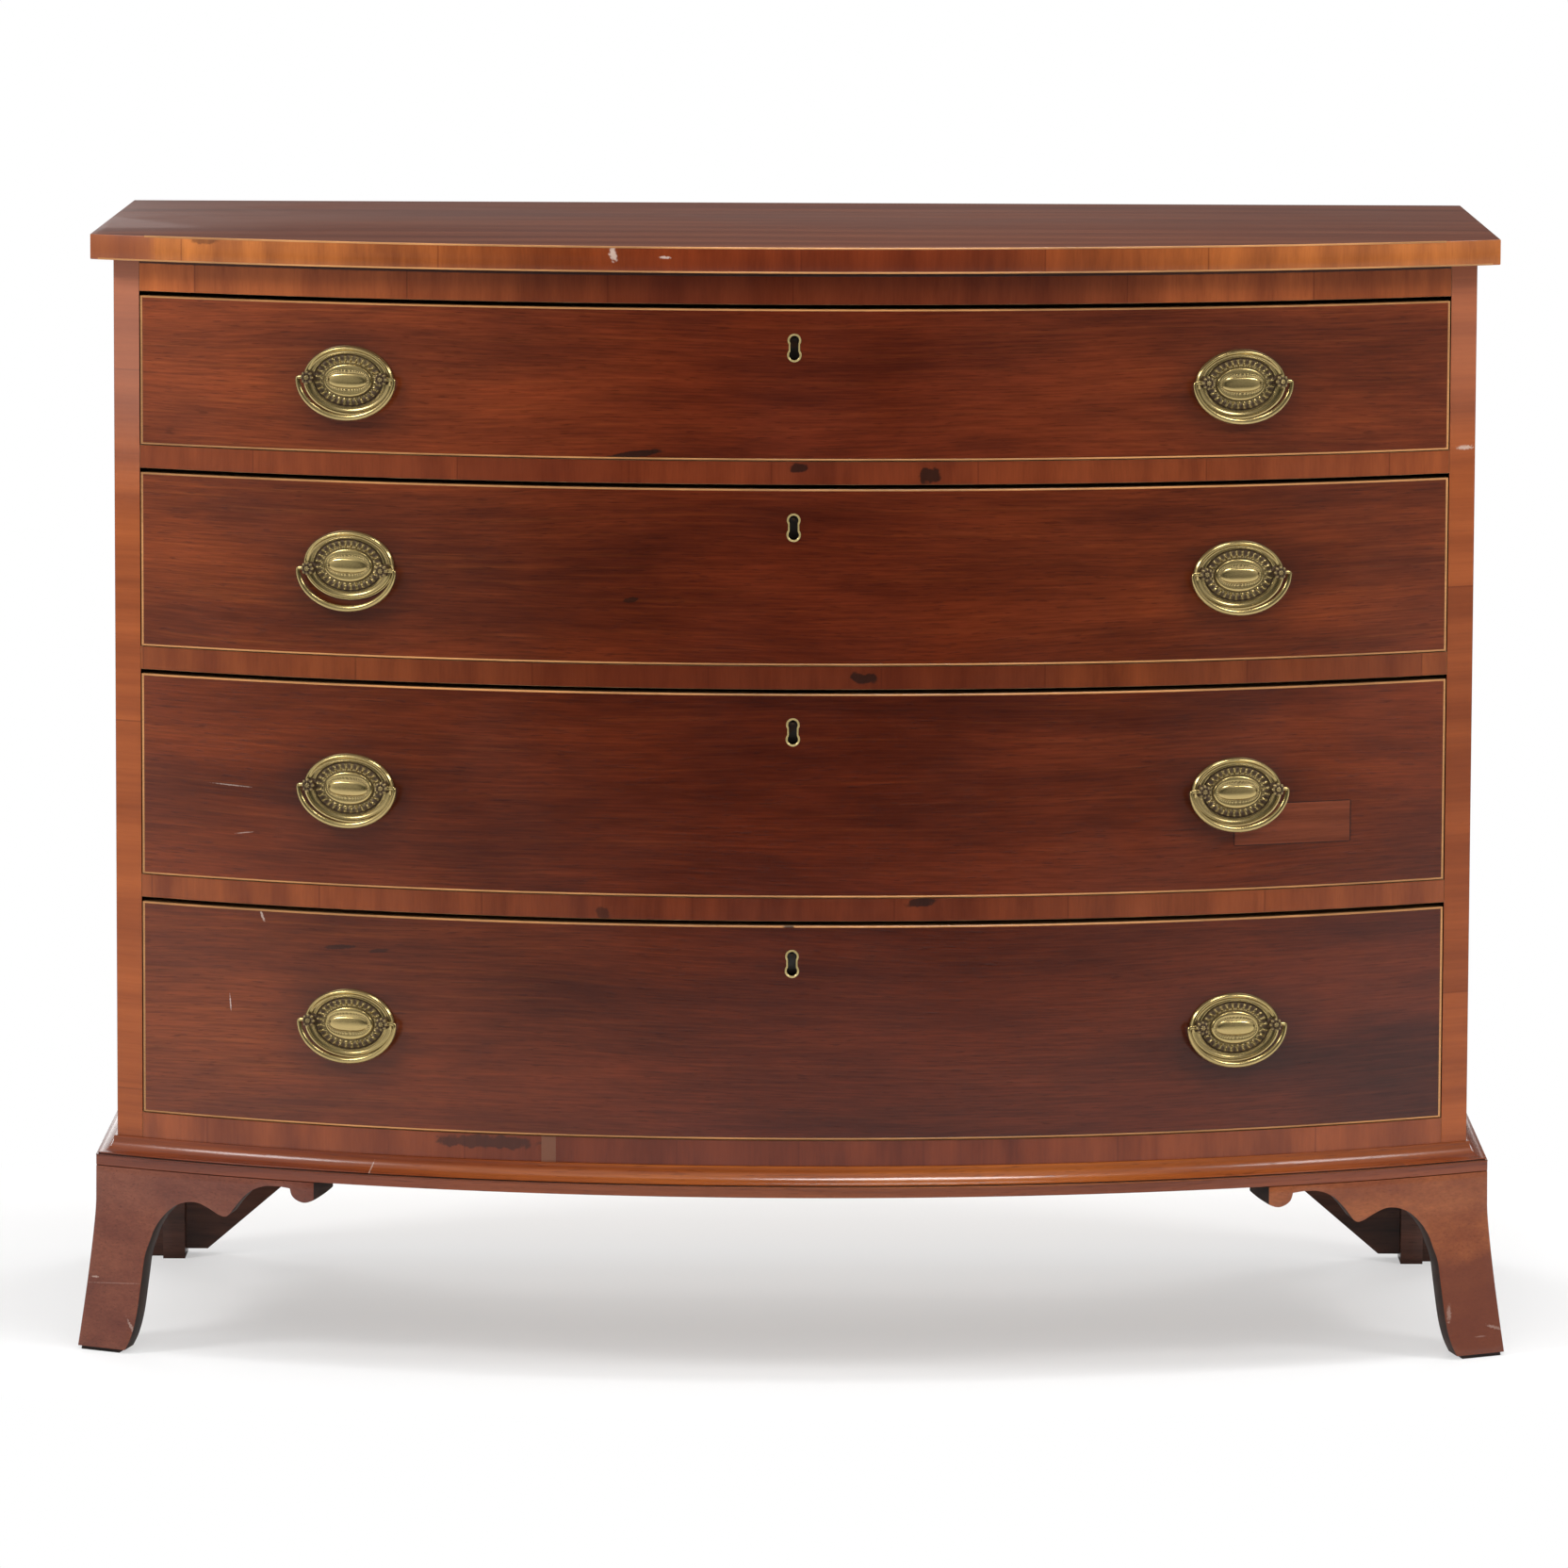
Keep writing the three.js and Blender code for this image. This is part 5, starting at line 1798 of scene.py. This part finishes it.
def buildNails():
    nails = []
    inset, count = heads["nailInset"], heads["nailsPerBoard"]
    for name in ("back_board_lower", "back_board_upper"):
        low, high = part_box(name)
        for x in (low.x + inset, high.x - inset):
            for i in range(count):
                z = low.z + inset * 2 + (high.z - low.z - inset * 4) * i / (count - 1)
                nails.append(buildHead(heads["nailRadius"], x, high.y, z))
    dress(joinObjects("back_nails", nails), "case", "lock_iron", iron)


def buildLockScrews(number):
    low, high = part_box(f"lock_{number}")
    insetX, insetZ = heads["screwInset"]
    half, backY = heads["screwSlot"] / 2, high.y
    screws = []
    for i, x in enumerate((low.x + insetX, high.x - insetX)):
        for j, z in enumerate((high.z - heads["lockHeight"] + insetZ, high.z - insetZ)):
            screw = buildHead(heads["screwRadius"], x, backY, z)
            turn = math.radians(heads["slotTurns"][2 * i + j])
            along = Vector((math.cos(turn), math.sin(turn))) * heads["screwRadius"] * heads["slotLength"]
            across = Vector((-math.sin(turn), math.cos(turn))) * half
            centre = Vector((x, z))
            corners = [centre + along * a + across * b for a, b in ((1, 1), (-1, 1), (-1, -1), (1, -1))]
            cutAway(screw, [prismAlongY("slot", corners, backY, backY + heads["slotDepth"])])
            screws.append(screw)
    dress(joinObjects(f"lock_{number}_screws", screws), f"drawer_{number}", "lock_iron", iron)


buildNails()
for number in drawerNumbers:
    buildLockScrews(number)
print("nails and screws driven")


# Floor, lights and world

studio = {
    "floorHalf": 40.0,
    "floorWhite": 0.86,
    "floorGrain": 0.98,
    "floorRough": 0.8,
    "floorGlow": 0.45,
    "glowEdge": (0.85, 1.35),
    "glowCentre": (0.0, 0.2, 0.0),
    "glowReach": (0.8, 0.5, 1.0),
    "paperReach": (1.1, 3.0),
    "sideReach": (2.0, 7.5),
    "rightPaper": 0.6,
    "darkFloor": 0.02,
}

# The room: its light, and how bright it is in the polish at both sides, behind the chest and overhead
room = {
    "ambient": 0.56,
    "leftGlow": 0.95,
    "rightGlow": 0.65,
    "middle": (-0.2, 0.2),
    "sides": (-0.98, -0.55),
    "darkest": 0.01,
    "behind": (0.2, 0.8),
    "behindLoss": 0.75,
    "overhead": (0.35, 0.8),
    "overheadGlow": 0.55,
}

# Soft boxes: power, size, place, aim, and whether they show in the polish
lamps = {
    "overhead": (34, (0.8, 0.8), (0.38, -0.5, 3.2), (0, -0.2, 0.3), True),
    "front": (48, (3.2, 1.6), (0.0, -3.6, 3.2), (0, 0, 0.4), False),
    "left": (84, (1.2, 1.2), (-3.4, -2.0, 3.4), (0, 0, 0.5), True),
    "right": (66, (1.2, 1.2), (3.4, -2.0, 3.4), (0, 0, 0.5), True),
    "glare": (12, (1.6, 1.4), (-1.62, 3.6, 1.3), (0, 0, 0.9), True),
    "left end": (8, (1.0, 0.7), (-1.05, 3.6, 0.4), (-0.5, 0, 0.15), True),
    "right end": (8, (1.0, 0.7), (1.05, 3.6, 0.4), (0.5, 0, 0.15), True),
    "back left": (50, (1.8, 1.5), (-2.0, 3.6, 2.1), (0, 0, 0.1), False),
    "back right": (60, (1.8, 1.5), (2.0, 3.6, 2.1), (0, 0, 0.1), False),
}


def addFloor():
    half = studio["floorHalf"]
    corners = [(-half, -half, 0), (half, -half, 0), (half, half, 0), (-half, half, 0)]
    floor = makeObject("studio_floor", corners, [(0, 1, 2, 3)])
    material, graph, shader = newMaterial("white floor")
    white = studio["floorWhite"]
    place = graph.add("ShaderNodeTexCoord").outputs["Object"]
    grain = graph.noise(place, scale=3.0)
    graph.feed(shader["Base Color"], graph.mix(grain, (white,) * 3, (white * studio["floorGrain"],) * 3))
    shader["Roughness"].default_value = studio["floorRough"]
    seen = graph.add("ShaderNodeLightPath").outputs
    lit = shader["Roughness"].node.outputs[0]

    # In the polish the white paper ends a little in front of the chest, and shows again far off at the sides
    x, y, _ = graph.split(place)
    near, far = studio["paperReach"]
    ahead = graph.range(y, -far, -near, 1.0, 0.0)
    paperEnd, paperAgain = studio["sideReach"]
    leftPaper = graph.range(x, -paperAgain, -paperEnd, 1.0, 0.0)
    rightPaper = graph.range(x, paperEnd, paperAgain, 0.0, studio["rightPaper"])
    aside = graph.math("MAXIMUM", leftPaper, rightPaper)
    dark = graph.add("ShaderNodeEmission", {"Color": (*(studio["darkFloor"],) * 3, 1), "Strength": 1.0})
    unlit = graph.math("MULTIPLY", ahead, graph.math("SUBTRACT", 1.0, aside))
    mirrored = graph.math("MULTIPLY", seen["Is Glossy Ray"], unlit)
    inPolish = graph.add("ShaderNodeMixShader", {0: mirrored, 1: lit, 2: dark.outputs[0]})

    # For the camera the floor is nearly white, and wholly white away from the chest
    fromChest = graph.vector("SUBTRACT", place, studio["glowCentre"])
    around = graph.vector("DIVIDE", fromChest, studio["glowReach"])
    away = graph.add("ShaderNodeVectorMath", {0: around}, operation="LENGTH").outputs["Value"]
    glowShare = graph.range(away, *studio["glowEdge"], studio["floorGlow"], 1.0)
    glow = graph.add("ShaderNodeEmission", {"Color": (1, 1, 1, 1), "Strength": 1.0})
    share = graph.math("MULTIPLY", seen["Is Camera Ray"], glowShare)
    blend = graph.add("ShaderNodeMixShader", {0: share, 1: inPolish.outputs[0], 2: glow.outputs[0]})
    output = [node for node in graph.tree.nodes if node.type == "OUTPUT_MATERIAL"][0]
    graph.tree.links.new(blend.outputs[0], output.inputs["Surface"])
    floor.data.materials.append(material)


def addLamp(label, power, size, place, aim, seen):
    data = bpy.data.lights.new(f"{label} light", "AREA")
    data.shape = "RECTANGLE"
    data.size, data.size_y = size
    data.energy = power
    obj = bpy.data.objects.new(f"{label} light", data)
    scene.collection.objects.link(obj)
    beam = Vector(aim) - Vector(place)
    obj.matrix_world = Matrix.Translation(place) @ beam.to_track_quat("-Z", "Y").to_matrix().to_4x4()
    obj.visible_glossy = seen
    obj.visible_camera = False


# The room as the polish shows it: dark around the camera, bright at both sides and overhead
def roomBrightness(graph):
    direction = graph.add("ShaderNodeTexCoord").outputs["Generated"]
    x, y, z = graph.split(direction)
    flat = graph.math("SQRT", graph.math("ADD", graph.math("MULTIPLY", x, x), graph.math("MULTIPLY", y, y)))
    facing = graph.math("DIVIDE", y, graph.math("MAXIMUM", flat, 0.001))
    brightest = graph.range(x, *room["middle"], room["leftGlow"], room["rightGlow"])
    sides = graph.range(facing, *room["sides"], room["darkest"], brightest)
    behind = graph.range(facing, *room["behind"])
    left = graph.math("SUBTRACT", 1.0, graph.math("MULTIPLY", behind, room["behindLoss"]))
    around = graph.math("MULTIPLY", sides, left)
    above = graph.range(z, *room["overhead"], 0.0, room["overheadGlow"])
    return graph.math("MAXIMUM", around, above)


def addWorld():
    world = bpy.data.worlds.new("white studio")
    world.use_nodes = True
    world.node_tree.nodes.clear()
    world.cycles.sampling_method = "NONE"
    scene.world = world
    graph = ShaderGraph(world.node_tree)
    seen = graph.add("ShaderNodeLightPath").outputs
    ambient = graph.add("ShaderNodeBackground", {"Color": (1, 1, 1, 1), "Strength": room["ambient"]})
    mirrored = graph.add("ShaderNodeBackground", {"Color": (1, 1, 1, 1), "Strength": roomBrightness(graph)})
    white = graph.add("ShaderNodeBackground", {"Color": (1, 1, 1, 1), "Strength": 1.0})
    glossy = graph.math("MAXIMUM", seen["Is Glossy Ray"], seen["Is Transmission Ray"])
    first = graph.add("ShaderNodeMixShader", {0: glossy, 1: ambient.outputs[0], 2: mirrored.outputs[0]})
    second = graph.add(
        "ShaderNodeMixShader", {0: seen["Is Camera Ray"], 1: first.outputs[0], 2: white.outputs[0]}
    )
    output = graph.add("ShaderNodeOutputWorld")
    graph.tree.links.new(second.outputs[0], output.inputs["Surface"])


addFloor()
for label, lamp in lamps.items():
    addLamp(label, *lamp)
addWorld()
scene.view_settings.view_transform = "Standard"
print("studio lit")
